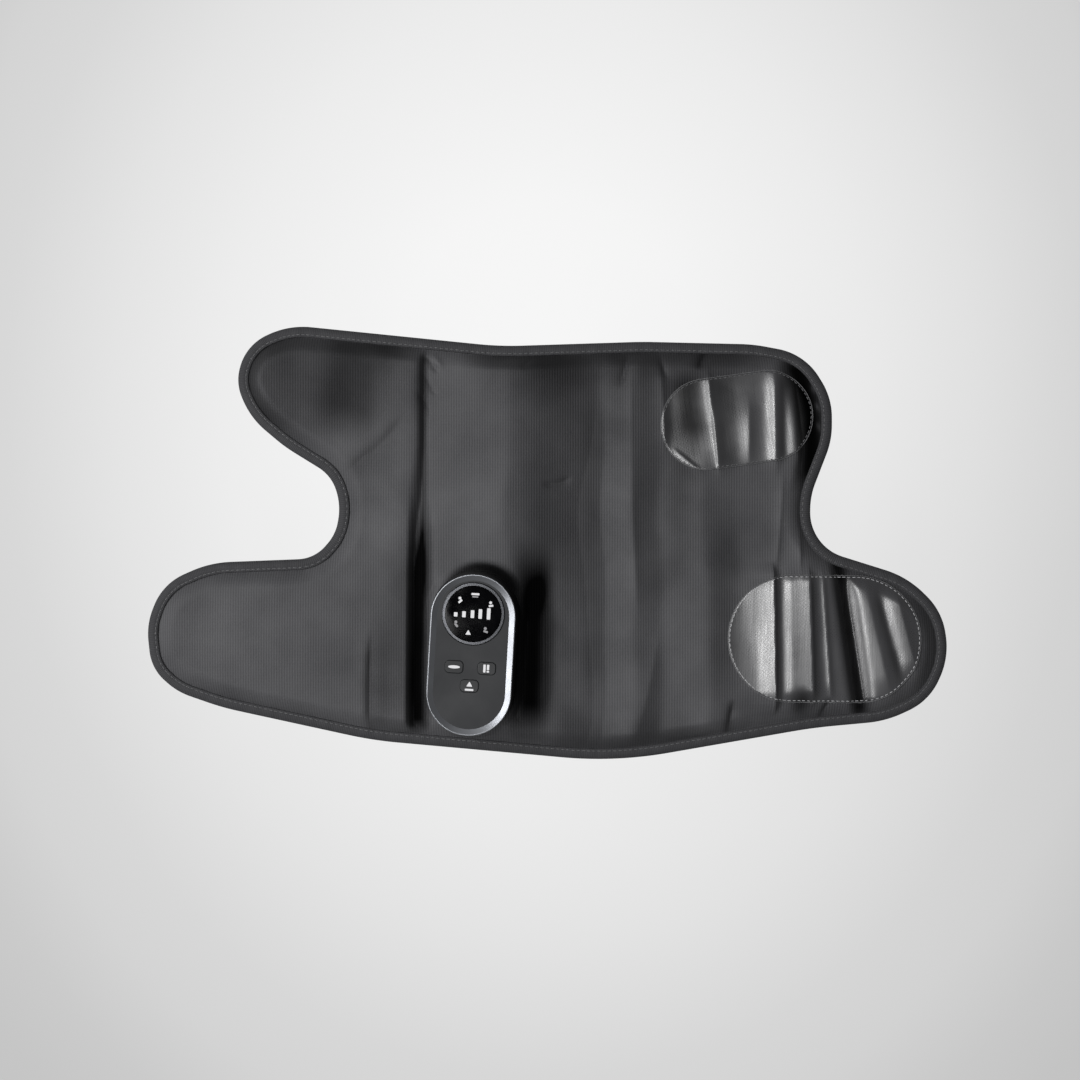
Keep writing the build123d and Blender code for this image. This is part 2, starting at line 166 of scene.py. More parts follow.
class MeshMaker:
    """Gathers grids of points into one closed mesh and makes the Blender object."""

    def __init__(self, name: str) -> None:
        """Starts an empty mesh with its object's name."""
        self.name = name
        self.points: list[Array] = []
        self.faces: list[tuple[int, ...]] = []
        self.rounded: list[bool] = []
        self.uv: list[Array] = []
        self.folds: list[Array] = []
        self.count = 0

    def add_points(self, points: Array, uv: Array, fold: Array | float = 0.0) -> Array:
        """Adds a grid of points.

        Args:
            points: grid of x, y and z in millimetres.
            uv: grid of the two texture places of each point, in millimetres on the cloth.
            fold: share of painted shade at each point.

        Returns:
            Grid of the points' numbers in the mesh.
        """
        flat = points.reshape(-1, 3)
        numbers = np.arange(self.count, self.count + len(flat)).reshape(points.shape[:-1])
        self.points.append(flat)
        self.uv.append(uv.reshape(-1, 2))
        self.folds.append(np.broadcast_to(fold, points.shape[:-1]).ravel())
        self.count += len(flat)
        return numbers

    def skin(self, numbers: Array, flip: bool = False, rounded: bool = True, closed: bool = False) -> None:
        """Spans a grid of point numbers with four-sided faces.

        Args:
            numbers: grid of point numbers.
            flip: turns the faces over.
            rounded: whether light blends from face to face.
            closed: whether the last column joins the first.
        """
        if closed:
            numbers = np.hstack([numbers, numbers[:, :1]])
        quads = quads_of(numbers)
        if flip:
            quads = quads[:, ::-1]
        self.faces.extend(map(tuple, quads.tolist()))
        self.rounded.extend([rounded] * len(quads))

    def cap(self, numbers: Array, flip: bool = False) -> None:
        """Closes a ring of point numbers with one flat face."""
        ring = numbers.tolist()
        self.faces.append(tuple(ring[::-1] if flip else ring))
        self.rounded.append(False)

    def build(self) -> bpy.types.Object:
        """Makes the object, with its points in metres, a UV map in millimetres and its shares of painted
        shade.
        """
        mesh = bpy.data.meshes.new(self.name)
        places = np.concatenate(self.points) * MM
        mesh.from_pydata(places.tolist(), [], self.faces)
        mesh.polygons.foreach_set("use_smooth", self.rounded)
        corner_point = np.zeros(len(mesh.loops), np.int32)
        mesh.loops.foreach_get("vertex_index", corner_point)
        uv = np.concatenate(self.uv)[corner_point]
        mesh.uv_layers.new(name="cloth").data.foreach_set("uv", uv.astype(np.float32).ravel())
        # The painted shade is kept in the point attribute named fold.
        folds = np.concatenate(self.folds)
        if folds.any():
            attribute = mesh.attributes.new("fold", "FLOAT", "POINT")
            attribute.data.foreach_set("value", folds.astype(np.float32))
        self.crease(mesh)
        mesh.update()
        made = bpy.data.objects.new(self.name, mesh)
        bpy.context.scene.collection.objects.link(made)
        return made

    def crease(self, mesh: bpy.types.Mesh) -> None:
        """Marks the edges between a rounded and a flat face as sharp, so that light stops blending there."""
        edge_of_corner = np.zeros(len(mesh.loops), np.int32)
        mesh.loops.foreach_get("edge_index", edge_of_corner)
        corners = np.zeros(len(mesh.polygons), np.int32)
        mesh.polygons.foreach_get("loop_total", corners)
        rounded = np.repeat(np.array(self.rounded, float), corners)
        rounded_sides = np.bincount(edge_of_corner, rounded, len(mesh.edges))
        sides = np.bincount(edge_of_corner, minlength=len(mesh.edges))
        sharp = (rounded_sides > 0) & (rounded_sides < sides)
        mesh.attributes.new("sharp_edge", "BOOLEAN", "EDGE").data.foreach_set("value", sharp)


def rim_of(numbers: Array) -> Array:
    """The point numbers round a grid's border, counter-clockwise with rows as x and columns as y."""
    return np.concatenate([numbers[:-1, 0], numbers[-1, :-1], numbers[:0:-1, -1], numbers[0, :0:-1]])


@dataclass
class Outline:
    """The wrap's edge, rounded at its corners, and lines drawn inside it."""

    arc_steps: int = 28
    run_steps: int = 56
    spacing: float = 0.8
    coarse_step: int = 6
    chunk: int = 4000

    def __post_init__(self) -> None:
        """Traces the edge and finds where it turns back in x."""
        self.edge = self.trace(0.0)
        closed = np.vstack([self.edge, self.edge[:1]])
        self.travel = travel_along(closed)
        self.length = float(self.travel[-1])
        going = np.sign(np.diff(closed[:, 0]))
        self.turning = np.flatnonzero(going != np.roll(going, 1))
        self.dense = self.at(0.0, np.arange(0.0, self.length, self.spacing)).astype(np.float32)

    def trace(self, inset: float) -> Array:
        """Points of a line inside the edge, with the same number of points for every inset.

        Each corner is moved along the sum of its two edges' inward normals until both edges are the inset
        away, and rounded by an arc about the same centre as the edge's own arc.

        Args:
            inset: distance inside the edge.

        Returns:
            Rows of x and y, counter-clockwise.
        """
        table = np.array(WRAP_CORNERS, float)
        here = table[:, :2]
        coming = unit(here - np.roll(here, 1, axis=0))
        going = np.roll(coming, -1, axis=0)
        left_coming = leftward(coming)
        inward = left_coming + leftward(going)
        place = here + inward * (2.0 * inset / (inward**2).sum(1))[:, None]
        cross = coming[:, 0] * going[:, 1] - coming[:, 1] * going[:, 0]
        turn = np.arctan2(cross, (coming * going).sum(1))
        radius = table[:, 2] - inset * np.sign(turn)
        start = place - coming * (radius * np.tan(np.abs(turn) / 2.0))[:, None]
        spoke = -left_coming * (np.sign(turn) * radius)[:, None]
        centre = start - spoke
        angle = turn[:, None] * np.linspace(0.0, 1.0, self.arc_steps + 1)
        arcs = centre[:, None] + spoke[:, None] * np.cos(angle)[..., None]
        arcs = arcs + leftward(spoke)[:, None] * np.sin(angle)[..., None]
        share = np.linspace(0.0, 1.0, self.run_steps + 1)[1:-1, None]
        run_start, run_end = arcs[:, -1:], np.roll(arcs[:, :1], -1, axis=0)
        runs = run_start + (run_end - run_start) * share
        return np.concatenate([arcs, runs], axis=1).reshape(-1, 2)

    def at(self, inset: float, travel: Array) -> Array:
        """Rows of x and y on an inset line, beside distances along the edge from its first point."""
        line = self.trace(inset)
        closed = np.vstack([line, line[:1]])
        count = np.arange(len(closed))
        return points_along(closed, count, np.interp(np.mod(travel, self.length), self.travel, count))

    def stretch(self, side: Side) -> Array:
        """Numbers of the edge's points from one turning place to the next."""
        first, last = self.turning[side.value], self.turning[(side.value + 1) % len(Side)]
        if last < first:
            last += len(self.edge)
        return np.arange(first, last + 1) % len(self.edge)

    def height_of(self, side: Side, inset: float) -> tuple[Array, Array]:
        """One side of an inset line: rising x places and the y at each."""
        line = self.trace(inset)[self.stretch(side)]
        if line[0, 0] > line[-1, 0]:
            line = line[::-1]
        return line[:, 0], line[:, 1]

    def run_end(self, side: Side, x: float, first: bool) -> float:
        """Distance along the edge to where an open run ends: the top or bottom at an x, or else a notch.

        Args:
            side: the side that the end is on.
            x: the end's x on the top or the bottom.
            first: whether the run starts there, for a notch.

        Returns:
            The distance.
        """
        numbers = self.stretch(side)
        if side not in (Side.TOP, Side.BOTTOM):
            return float(self.travel[numbers[0] if first else numbers[-1]])
        places, travel = self.edge[numbers, 0], np.unwrap(self.travel[numbers], period=self.length)
        if places[0] > places[-1]:
            places, travel = places[::-1], travel[::-1]
        return float(np.interp(x, places, travel))

    def encloses(self, x: Array, y: Array) -> Array:
        """Whether each point is inside: a level line from it crosses the edge an odd number of times."""
        crossings = np.zeros(x.shape, int)
        coarse = self.edge[:: self.coarse_step]
        for (x_from, y_from), (x_to, y_to) in zip(coarse, np.roll(coarse, -1, axis=0)):
            slope = (x_to - x_from) / (y_to - y_from) if y_to != y_from else 0.0
            passes = (y_from > y) != (y_to > y)
            crossings += passes & (x < x_from + (y - y_from) * slope)
        return crossings % 2 == 1

    def depth(self, x: Array, y: Array) -> Array:
        """Distance of each point from the nearest point of the edge."""
        points = np.stack([x.ravel(), y.ravel()], axis=1).astype(np.float32)
        nearest = []
        for chunk in np.array_split(points, max(1, len(points) // self.chunk)):
            gap = (chunk[:, None, 0] - self.dense[None, :, 0]) ** 2
            gap += (chunk[:, None, 1] - self.dense[None, :, 1]) ** 2
            nearest.append(np.sqrt(gap.min(axis=1)))
        return np.concatenate(nearest).reshape(x.shape).astype(float)


@dataclass(frozen=True)
class Fold:
    """A ridge or crease in the cloth along a line, which may bow to its left.

    Its height over the cloth is its height at the line times the exponential of minus the distance across,
    in widths, raised to its roundness, times an ease at both ends.
    """

    start: Place
    end: Place
    height: float
    width: float
    far_width: float = 0.0
    roundness: float = 2.0
    bow: float = 0.0
    taper: float = 0.3
    # Share of painted shade laid into the cloth's colour along the fold; a negative share lifts the shade as
    # a painted glint.
    dark: float = 0.0
    far_taper: float = 0.0

    def share(self, x: Array, y: Array) -> Array:
        """Share of the fold's height that each place has.

        Args:
            x: x places on the wrap.
            y: y places on the wrap.

        Returns:
            The shares from 0 to 1.
        """
        across_x, across_y = self.end[0] - self.start[0], self.end[1] - self.start[1]
        length = math.hypot(across_x, across_y)
        way_x, way_y = across_x / length, across_y / length
        along = ((x - self.start[0]) * way_x + (y - self.start[1]) * way_y) / length
        off = (y - self.start[1]) * way_x - (x - self.start[0]) * way_y
        off = off - 4.0 * self.bow * along * (1.0 - along)
        width = np.where(off > 0, self.width, self.far_width or self.width)
        ends = smooth(along / self.taper) * smooth((1.0 - along) / (self.far_taper or self.taper))
        return ends * np.exp(-((np.abs(off) / width) ** self.roundness))


def shade(
    start: Place, end: Place, width: float, far_width: float, roundness: float, taper: float, dark: float
) -> Fold:
    """A broad stretch of painted shade, where the cloth is to look turned from the light: a fold that darkens
    the colour but has no height.
    """
    return Fold(start, end, 0.0, width, far_width, roundness, 0.0, taper, dark)


@dataclass(frozen=True)
class Swell:
    """How high the padding stands along x at one y: knots joined by straight lines and then softened."""

    y: float
    knots: tuple[Place, ...]
    softness: float = 4.0
    span: float = 340.0

    def height(self, x: Array) -> Array:
        """Softened height at each x, the straight lines averaged with a bell-shaped weight."""
        line = np.arange(-self.span, self.span + 1.0, 1.0)
        places, heights = np.array(self.knots).T
        reach = np.arange(-3.0 * self.softness, 3.0 * self.softness + 1.0)
        bell = np.exp(-((reach / self.softness) ** 2))
        padded = np.pad(np.interp(line, places, heights), len(reach) // 2, mode="edge")
        return np.interp(x, line, np.convolve(padded, bell / bell.sum(), mode="valid"))


# The padding's swells across the wrap's upper, middle and lower part.
SWELLS = (
    Swell(120, ((-240, 12), (-200, 10.5), (-165, 8.4), (-130, 7), (-105, 11.8), (-96, 12), (-90, 7),
                (-60, 9.6), (-29, 13.2), (5, 9.4), (38, 5.8), (64, 12), (84, 8.6), (120, 9.6), (160, 9),
                (190, 9.5), (210, 10))),
    Swell(5, ((-240, 7.6), (-200, 9), (-160, 7.4), (-128, 9), (-105, 12.8), (-96, 13.2), (-90, 6.6),
              (-60, 10), (-29, 15), (5, 9), (37, 4.8), (64, 12.6), (84, 7.6), (116, 13), (140, 9), (170, 8),
              (190, 9.5), (240, 9))),
    Swell(-90, ((-290, 5.6), (-240, 9.4), (-200, 11.6), (-165, 10), (-140, 8.6), (-120, 10), (-103, 15),
                (-99, 15), (-90, 7), (-60, 9), (-22, 8), (8, 9.4), (37, 5.2), (62, 12.4), (82, 7.6),
                (116, 14), (148, 8.6), (175, 9), (215, 9), (250, 9.6), (285, 7.6))),
)
# Ridges and creases of the cloth. Each row: start, end, height, width, far width, roundness, bow, taper, then
# the share of painted shade laid along it (a negative one lifts shade as a painted glint), far taper.
FOLDS = (
    # Crease beside the controller, from the upper edge down, which opens into a trough painted black as
    # shade.
    Fold((-90.0, 146), (-93.5, -40), -3.6, 2.4, 2.4, 1.8, 0.8, 0.1, 0.5),
    Fold((-93.4, 40), (-96.0, -143), -10.0, 8.2, 5.8, 3.4, 0.0, 0.34, 1.0, 0.08),
    # Pinched cloth at the crease's upper end.
    Fold((-95, 139), (-79, 123), -1.7, 1.6, 2.4, 1.5, 1.5, 0.45, 0.25),
    Fold((-93, 126), (-80, 107), -1.5, 1.5, 2.2, 1.5, -1.0, 0.45, 0.2),
    Fold((-96, 113), (-86, 92), -1.2, 1.4, 2.0, 1.5, 0.5, 0.45, 0.15),
    Fold((-87, 144), (-76, 126), 1.3, 2.6, 2.4, 1.8, 0.0, 0.4),
    # Long diagonal from the left panel's notch to the crease.
    Fold((-156, 48), (-100, 100), -2.2, 5.0, 12.0, 1.5, -5.0, 0.35, 0.22),
    # Upright crease on the lower strap.
    Fold((-128.5, -60), (-130.0, -150), -2.4, 5.0, 2.8, 1.3, -1.5, 0.3, 0.3),
    # Hollow on the controller's other side, painted black as the controller's shadow.
    Fold((-8, 10), (-15, -156), -3.4, 14.0, 13.0, 3.4, 0.0, 0.33, 1.0, 0.24),
    # Ridges that run the height of the right panel.
    Fold((61, 140), (66, -60), 1.6, 4.0, 8.0, 1.3, -2.0, 0.2),
    Fold((81, 143), (86, 60), 1.6, 3.4, 6.0, 1.3, 1.0),
    Fold((84, -50), (62, -150), 1.6, 6.0, 8.0, 1.4, 2.0, 0.4),
    # Slack between the hook patches.
    Fold((172.5, 58), (166, -30), 1.4, 2.6, 4.5, 1.3, 1.0),
    Fold((187.5, 58), (185, -30), 1.9, 2.4, 4.4, 1.2, -1.0),
    # Pleats pressed into the upper hook patch, and the deep fold at its right end, painted black as shade.
    Fold((88, 72), (118, 47), 0.4, 1.6, 2.5, 2.0, 0.0, 0.4),
    Fold((118.5, 106), (124.5, 44), -1.6, 2.0, 20.0, 1.2, 0.0, 0.3),
    Fold((116.5, 132), (125.5, 44), 1.5, 3.0, 4.2, 1.3, 0.0, 0.2),
    Fold((97, 128), (106, 68), 0.5, 12.0, 12.0, 2.0, 0.0, 0.3, 0.45),
    Fold((130, 128), (132, 48), -0.6, 11.0, 8.0, 2.6, 0.0, 0.2, 0.3),
    Fold((147.5, 112), (147.5, 46), 1.6, 4.0, 7.0, 1.3, 0.0, 0.5),
    Fold((165.5, 136), (167.5, 44), 2.2, 4.0, 6.0, 1.5, 0.0, 0.25),
    Fold((172, 128), (173, 54), -0.6, 5.0, 3.0, 2.0, 0.0, 0.2, 0.3),
    Fold((178.5, 128), (184, 54), 2.0, 3.0, 5.0, 1.4, 0.0, 0.2),
    Fold((177, 146), (193, 34), -5.0, 10.5, 11.0, 2.8, 7.5, 0.18, 1.0),
    # Small ridges along the curled rim beside it, where the painted shade is lifted to make painted glints.
    Fold((193.5, 119), (198, 108), 2.0, 1.6, 1.6, 1.6, 0.0, 0.5, -0.5),
    Fold((196.5, 105), (202, 95), 2.0, 1.6, 1.6, 1.6, 0.0, 0.5, -0.5),
    Fold((198, 91), (202, 80), 2.0, 1.6, 1.6, 1.6, 0.0, 0.5, -0.5),
    # Pleats pressed into the lower hook patch, and the deep fold where its tab bends, painted dark as shade.
    Fold((164.6, -12), (166.2, -128), 5.4, 2.0, 20.0, 1.15, 0.0, 0.1),
    Fold((150, -20), (151, -122), 1.8, 40.0, 13.0, 1.8, 0.0, 0.15),
    Fold((190.4, -12), (194, -124), 4.8, 3.2, 16.0, 1.2, 0.0, 0.15),
    Fold((177, -14), (179, -126), 0.9, 14.0, 6.5, 1.6, 0.0, 0.15),
    Fold((186, -102), (187, -134), -2.4, 7.0, 7.0, 1.8, 0.0, 0.5, 0.6),
    Fold((200.5, -12), (208, -122), 1.3, 1.8, 3.4, 1.3, 0.0, 0.2),
    Fold((211, -2), (231, -136), -4.0, 7.6, 5.4, 2.4, 0.0, 0.12, 0.9),
    Fold((230, -22), (252, -118), 1.6, 5.0, 9.0, 1.5, 0.0, 0.25),
    Fold((238, -24), (262, -112), -1.2, 5.0, 4.0, 2.0, 0.0, 0.3, 0.35),
    Fold((252, -26), (272, -104), 2.6, 6.0, 9.0, 1.3, 0.0, 0.25),
    # The tab's far rim falls away.
    Fold((262, -28), (268, -126), -2.0, 9.0, 7.0, 2.0, 20.0, 0.3, 0.4),
    # Smile-shaped wrinkle and pulls below the upper edge.
    Fold((-6, 44), (19, 49), -1.2, 2.0, 2.6, 1.4, -3.0),
    Fold((60, 146), (52, 112), -1.7, 2.6, 3.6, 1.3, 1.0),
    Fold((82, 147), (88, 118), -1.6, 2.4, 3.4, 1.3, -1.0),
    Fold((117, 147), (110, 126), -1.8, 2.2, 3.4, 1.3, 0.0, 0.3, 0.3),
    Fold((-3, 147), (-20, 126), -1.3, 2.4, 3.4, 1.3),
    # Creases that run from the lower hook patch to the edge.
    Fold((136, -112), (130, -148), -2.2, 3.4, 2.4, 1.3, 0.0, 0.3, 0.4),
    Fold((208, -112), (196, -136), -2.2, 3.0, 2.2, 1.3, 0.0, 0.3, 0.4),
)
# Broad painted shade with no relief. Each row: start, end, width, far width, roundness, taper, share of
# painted shade.
SHADES = (
    # Under the upper edge, on the upper strap and along the right panel's lower edge.
    shade((8, 158), (4, -60), 26, 26, 3.0, 0.2, 0.36),
    shade((-118, 172), (-148, 70), 20, 34, 2.4, 0.3, 0.6),
    shade((-196, 176), (-216, 66), 34, 34, 2.4, 0.3, 0.5),
    shade((-70, 136), (170, 138), 14, 24, 2.0, 0.15, 0.42),
    shade((-10, -150), (125, -138), 24, 10, 2.4, 0.25, 0.32),
    # Beside the trough, the patches and the right panel's ridges.
    shade((-106, 10), (-108, -140), 8, 17, 2.0, 0.25, 0.45),
    shade((-106, 160), (-106, 60), 14, 14, 2.0, 0.3, 0.22),
    shade((104, 134), (108, 34), 12, 14, 2.4, 0.2, 0.16),
    shade((-150, 164), (-166, 60), 14, 14, 2.0, 0.3, 0.22),
    shade((-122, -60), (-124, -146), 9, 9, 2.0, 0.3, 0.28),
    shade((52, 150), (52, 60), 10, 10, 2.4, 0.3, 0.25),
    shade((34, 130), (34, -130), 9, 9, 2.4, 0.2, 0.28),
    shade((96, 130), (92, -60), 14, 11, 2.4, 0.25, 0.28),
    shade((74, 150), (74, -60), 9, 9, 2.4, 0.2, 0.14),
    shade((132, 40), (128, -130), 14, 14, 2.4, 0.3, 0.28),
    shade((52, 130), (54, -120), 14, 12, 2.4, 0.3, 0.14),
)


@dataclass(frozen=True)
class Stadium:
    """A shape with straight sides and round ends or corners, turned and placed on the wrap."""

    length: float
    width: float
    corner: float
    x: float
    y: float
    turn: float = 0.0

    def inside(self, x: Array, y: Array) -> Array:
        """Distance inside the shape's edge, negative outside, by the rounded box's distance formula."""
        u, v = turned(x - self.x, y - self.y, -self.turn, 0.0, 0.0)
        u = np.abs(u) - (self.length / 2 - self.corner)
        v = np.abs(v) - (self.width / 2 - self.corner)
        outer = np.hypot(np.maximum(u, 0), np.maximum(v, 0)) + np.minimum(np.maximum(u, v), 0)
        return self.corner - outer

    def grid(self, step: float) -> tuple[Array, Array, Array, Array]:
        """A grid over the shape: upright chords, closer together toward the round ends.

        Args:
            step: about the widest step.

        Returns:
            Grids of x and y on the wrap, and of the places along and across the shape.
        """
        reach = self.length / 2 - END_GAP
        u = eased_steps(-reach, reach, step, True, True)
        over = np.maximum(np.abs(u) - (self.length / 2 - self.corner), 0.0)
        half = self.width / 2 - self.corner + np.sqrt(np.maximum(self.corner**2 - over**2, 1e-4))
        rows = int(self.width / step)
        # The chord's rows are eased by the middle 80% of a half sine wave.
        share = np.sin(np.linspace(-math.pi / 2, math.pi / 2, rows + 1) * 0.8) / math.sin(0.4 * math.pi)
        v = half[:, None] * share[None, :]
        u = np.broadcast_to(u[:, None], v.shape)
        return *turned(u, v, self.turn, self.x, self.y), u, v

    def ring(self, inset: float, step: float) -> Array:
        """Points round the shape inside its edge, evenly spaced and counter-clockwise.

        Args:
            inset: distance inside the shape's edge.
            step: about the distance between points.

        Returns:
            Rows of x and y on the wrap, the last beside the first.
        """
        corner = self.corner - inset
        run_u, run_v = self.length / 2 - self.corner, self.width / 2 - self.corner
        u, v = [], []
        for number, (sign_u, sign_v) in enumerate(((1, 1), (-1, 1), (-1, -1), (1, -1))):
            angle = np.linspace(0.0, math.pi / 2, 24) + number * math.pi / 2
            u.append(sign_u * run_u + corner * np.cos(angle))
            v.append(sign_v * run_v + corner * np.sin(angle))
        x, y = turned(np.concatenate(u), np.concatenate(v), self.turn, self.x, self.y)
        line = np.stack([np.append(x, x[0]), np.append(y, y[0])], axis=1)
        travel = travel_along(line)
        even = np.linspace(0.0, travel[-1], int(travel[-1] / step), endpoint=False)
        return points_along(line, travel, even)


@dataclass
class LooseCloth:
    """Wrinkles of the outer cloth: a sheet cut a little too large, sewn down at its edge and left to settle.

    Blender's cloth simulation settles the sheet. Only its wrinkles are kept, because the padding's own
    shape carries the cloth's broad form.
    """

    outline: Outline
    spacing: float = 5.0
    sewn_margin: float = 9.0
    sewn_line: float = -94.0
    spare: tuple[float, float, float] = (0.06, 0.02, 0.0)
    wave_height: float = 0.15
    frames: int = 25
    broad_steps: int = 6
    gain: float = 2.6
    most: float = 1.6

    def __post_init__(self) -> None:
        """Settles the sheet and keeps its wrinkles."""
        self.x = np.arange(-310.0, 311.0, self.spacing)
        self.y = np.arange(-175.0, 176.0, self.spacing)
        self.wrinkles = self.fine(self.settle())

    def settle(self) -> Array:
        """Simulates the sheet in the wrap's outline.

        Its rest shape is wider than the place it is sewn to, a slight air pressure lifts it, and a faint
        wave starts its wrinkles upright.

        Returns:
            Grid of its heights in millimetres.
        """
        x, y = np.meshgrid(self.x, self.y, indexing="ij")
        inside = self.outline.encloses(x, y)
        sewn = ~inside | (self.outline.depth(x, y) < self.sewn_margin)
        sewn |= np.abs(x - self.sewn_line) < self.spacing / 2
        wave = self.wave_height * np.sin(x / 9.0 + 2.0 * np.sin(y / 40.0)) * np.cos(y / 47.0 + x / 90.0)
        places = np.stack([x, y, wave], axis=-1).reshape(-1, 3) * MM
        quads = quads_of(np.arange(x.size).reshape(x.shape))
        mesh = bpy.data.meshes.new("loose_sheet")
        mesh.from_pydata(places.tolist(), [], quads[inside.ravel()[quads].all(axis=1)].tolist())
        sheet = bpy.data.objects.new("loose_sheet", mesh)
        scene = bpy.context.scene
        scene.collection.objects.link(sheet)
        sheet.vertex_groups.new(name="sewn").add(np.flatnonzero(sewn.ravel()).tolist(), 1.0, "REPLACE")
        sheet.shape_key_add(name="Basis")
        cut = sheet.shape_key_add(name="cut")
        cut.data.foreach_set("co", (places * (1.0 + np.array(self.spare))).ravel())
        cloth = sheet.modifiers.new("cloth", "CLOTH")
        options = {
            "quality": 5, "mass": 0.03, "vertex_group_mass": "sewn", "rest_shape_key": cut,
            "bending_stiffness": 3.0, "tension_stiffness": 60.0, "compression_stiffness": 60.0,
            "use_pressure": True, "uniform_pressure_force": 0.3,
        }
        for option, value in options.items():
            setattr(cloth.settings, option, value)
        cloth.settings.effector_weights.gravity = 0.0
        cloth.point_cache.frame_end = self.frames
        for number in range(1, self.frames + 1):
            scene.frame_set(number)
        settled = sheet.evaluated_get(bpy.context.evaluated_depsgraph_get()).data
        places = np.zeros(len(settled.vertices) * 3)
        settled.vertices.foreach_get("co", places)
        scene.frame_set(1)
        bpy.data.objects.remove(sheet)
        bpy.data.meshes.remove(mesh)
        return places.reshape(*x.shape, 3)[..., 2] / MM

    def fine(self, heights: Array) -> Array:
        """Takes out the broad billow: the heights less their mean over a square, grown and kept in bounds."""
        broad = heights
        for axis in (0, 1):
            reach = range(-self.broad_steps, self.broad_steps + 1)
            broad = sum(np.roll(broad, step, axis=axis) for step in reach) / len(reach)
        return self.most * np.tanh(self.gain * (heights - broad) / self.most)

    def height(self, x: Array, y: Array) -> Array:
        """Wrinkle height at each place, as a cubic B-spline over the grid, which also softens it.

        Args:
            x: x places on the wrap.
            y: y places on the wrap.

        Returns:
            Heights in millimetres.
        """
        weights, firsts = [], []
        for place, line in ((x, self.x), (y, self.y)):
            steps = np.clip((place - line[0]) / self.spacing, 1.0, len(line) - 3.001)
            first = np.floor(steps).astype(int)
            t = steps - first
            firsts.append(first - 1)
            rising = (-3 * t**3 + 3 * t**2 + 3 * t + 1) / 6
            falling = (3 * t**3 - 6 * t**2 + 4) / 6
            weights.append(((1 - t) ** 3 / 6, falling, rising, t**3 / 6))
        return sum(
            weights[0][i] * weights[1][j] * self.wrinkles[firsts[0] + i, firsts[1] + j]
            for i in range(4)
            for j in range(4)
        )


@dataclass
class Relief:
    """Height of the wrap's outer cloth over the table at every place, and the shade painted on it."""

    outline: Outline
    cloth: LooseCloth
    seat: Stadium = Stadium(117, 63, 31.5, -54.2, -78.9, 86.8)
    # Stadium round which the controller's shadow is painted on the cloth.
    shadow: Stadium = Stadium(127, 73, 36.5, -48.5, -73.5, 86.8)
    rim_height: float = 2.9
    roll_start: float = 8.3
    roll_width: float = 12.0
    roll_power: float = 0.9
    wander: tuple[tuple[float, float, float], ...] = ((2.2, 33.0, 1.0), (1.2, 15.0, 0.0))
    seat_height: float = 9.0
    seat_margin: float = 7.0
    lowest: float = 6.3
    # How dark the controller's painted shadow is, and how soft its edge.
    shadow_depth: float = 0.8
    shadow_edge: float = 7.0

    def padding(self, x: Array, y: Array) -> Array:
        """Height of the padding far from the edge: swells joined from one y to the next, folds and wrinkles.

        The swells wander a little to both sides along y, as two sine waves with a reach, length and start.

        Args:
            x: x places on the wrap.
            y: y places on the wrap.

        Returns:
            Heights over the table in millimetres.
        """
        strayed = x
        for reach, length, start in self.wander:
            strayed = strayed + reach * np.sin(y / length + start)
        upper, middle, lower = (swell.height(strayed) for swell in SWELLS)
        up = smooth((y - SWELLS[1].y) / (SWELLS[0].y - SWELLS[1].y))
        down = smooth((y - SWELLS[1].y) / (SWELLS[2].y - SWELLS[1].y))
        height = middle + (upper - middle) * up + (lower - middle) * down
        return height + sum(fold.height * fold.share(x, y) for fold in FOLDS) + self.cloth.height(x, y)

    def height(self, x: Array, y: Array) -> Array:
        """Height of the outer cloth over the table.

        The padding rolls down to the rim over the roll's width, about as the sine of a quarter turn, and
        eases to the seat's height under the controller.

        Args:
            x: x places on the wrap.
            y: y places on the wrap.

        Returns:
            Heights in millimetres.
        """
        rolled = np.clip((self.outline.depth(x, y) - self.roll_start) / self.roll_width, 0.0, 1.0)
        roll = np.sin(math.pi / 2 * rolled) ** self.roll_power
        padding = np.maximum(self.padding(x, y), self.lowest)
        height = self.rim_height + (padding - self.rim_height) * roll
        seated = smooth(1.0 + self.seat.inside(x, y) / self.seat_margin)
        return height + (self.seat_height - height) * seated

    def painted_shade(self, x: Array, y: Array) -> Array:
        """Share of painted shade at each place, from 0 on the open cloth to 1 where it is painted black: the
        folds' and shades' shares, and a painted shadow round the controller.
        """
        folds = sum(fold.dark * fold.share(x, y) for fold in (*FOLDS, *SHADES))
        # Painted shadow of the controller on the cloth beside its seat.
        beside = self.shadow_depth * smooth(self.shadow.inside(x, y) / self.shadow_edge)
        return np.clip(np.maximum(folds, beside), 0.0, 1.0)


@dataclass(frozen=True)
class Panel:
    """One piece of the wrap's cloth between two x lines, and the bodies it bends between."""

    name: str
    x_from: float
    x_to: float
    low: Side
    high: Side
    bodies: tuple[str, ...]
    bend: Place = (0.0, 0.0)

    @property
    def left_end(self) -> bool:
        """Whether it is a strap, which ends at the left."""
        return self.x_from < STRAP_CUT

    @property
    def right_end(self) -> bool:
        """Whether it is the wing or the tab, which end at the right."""
        return self.x_to > WING_CUT

    @property
    def runs(self) -> tuple[tuple[Side, float, Side, float], ...]:
        """Its stretches of open edge, counter-clockwise: the side and x where each starts and ends."""
        if self.left_end:
            return ((self.high, self.x_to, self.low, self.x_to),)
        if self.right_end:
            return ((self.low, self.x_from, self.high, self.x_from),)
        return (self.low, self.x_from, self.low, self.x_to), (self.high, self.x_to, self.high, self.x_from)


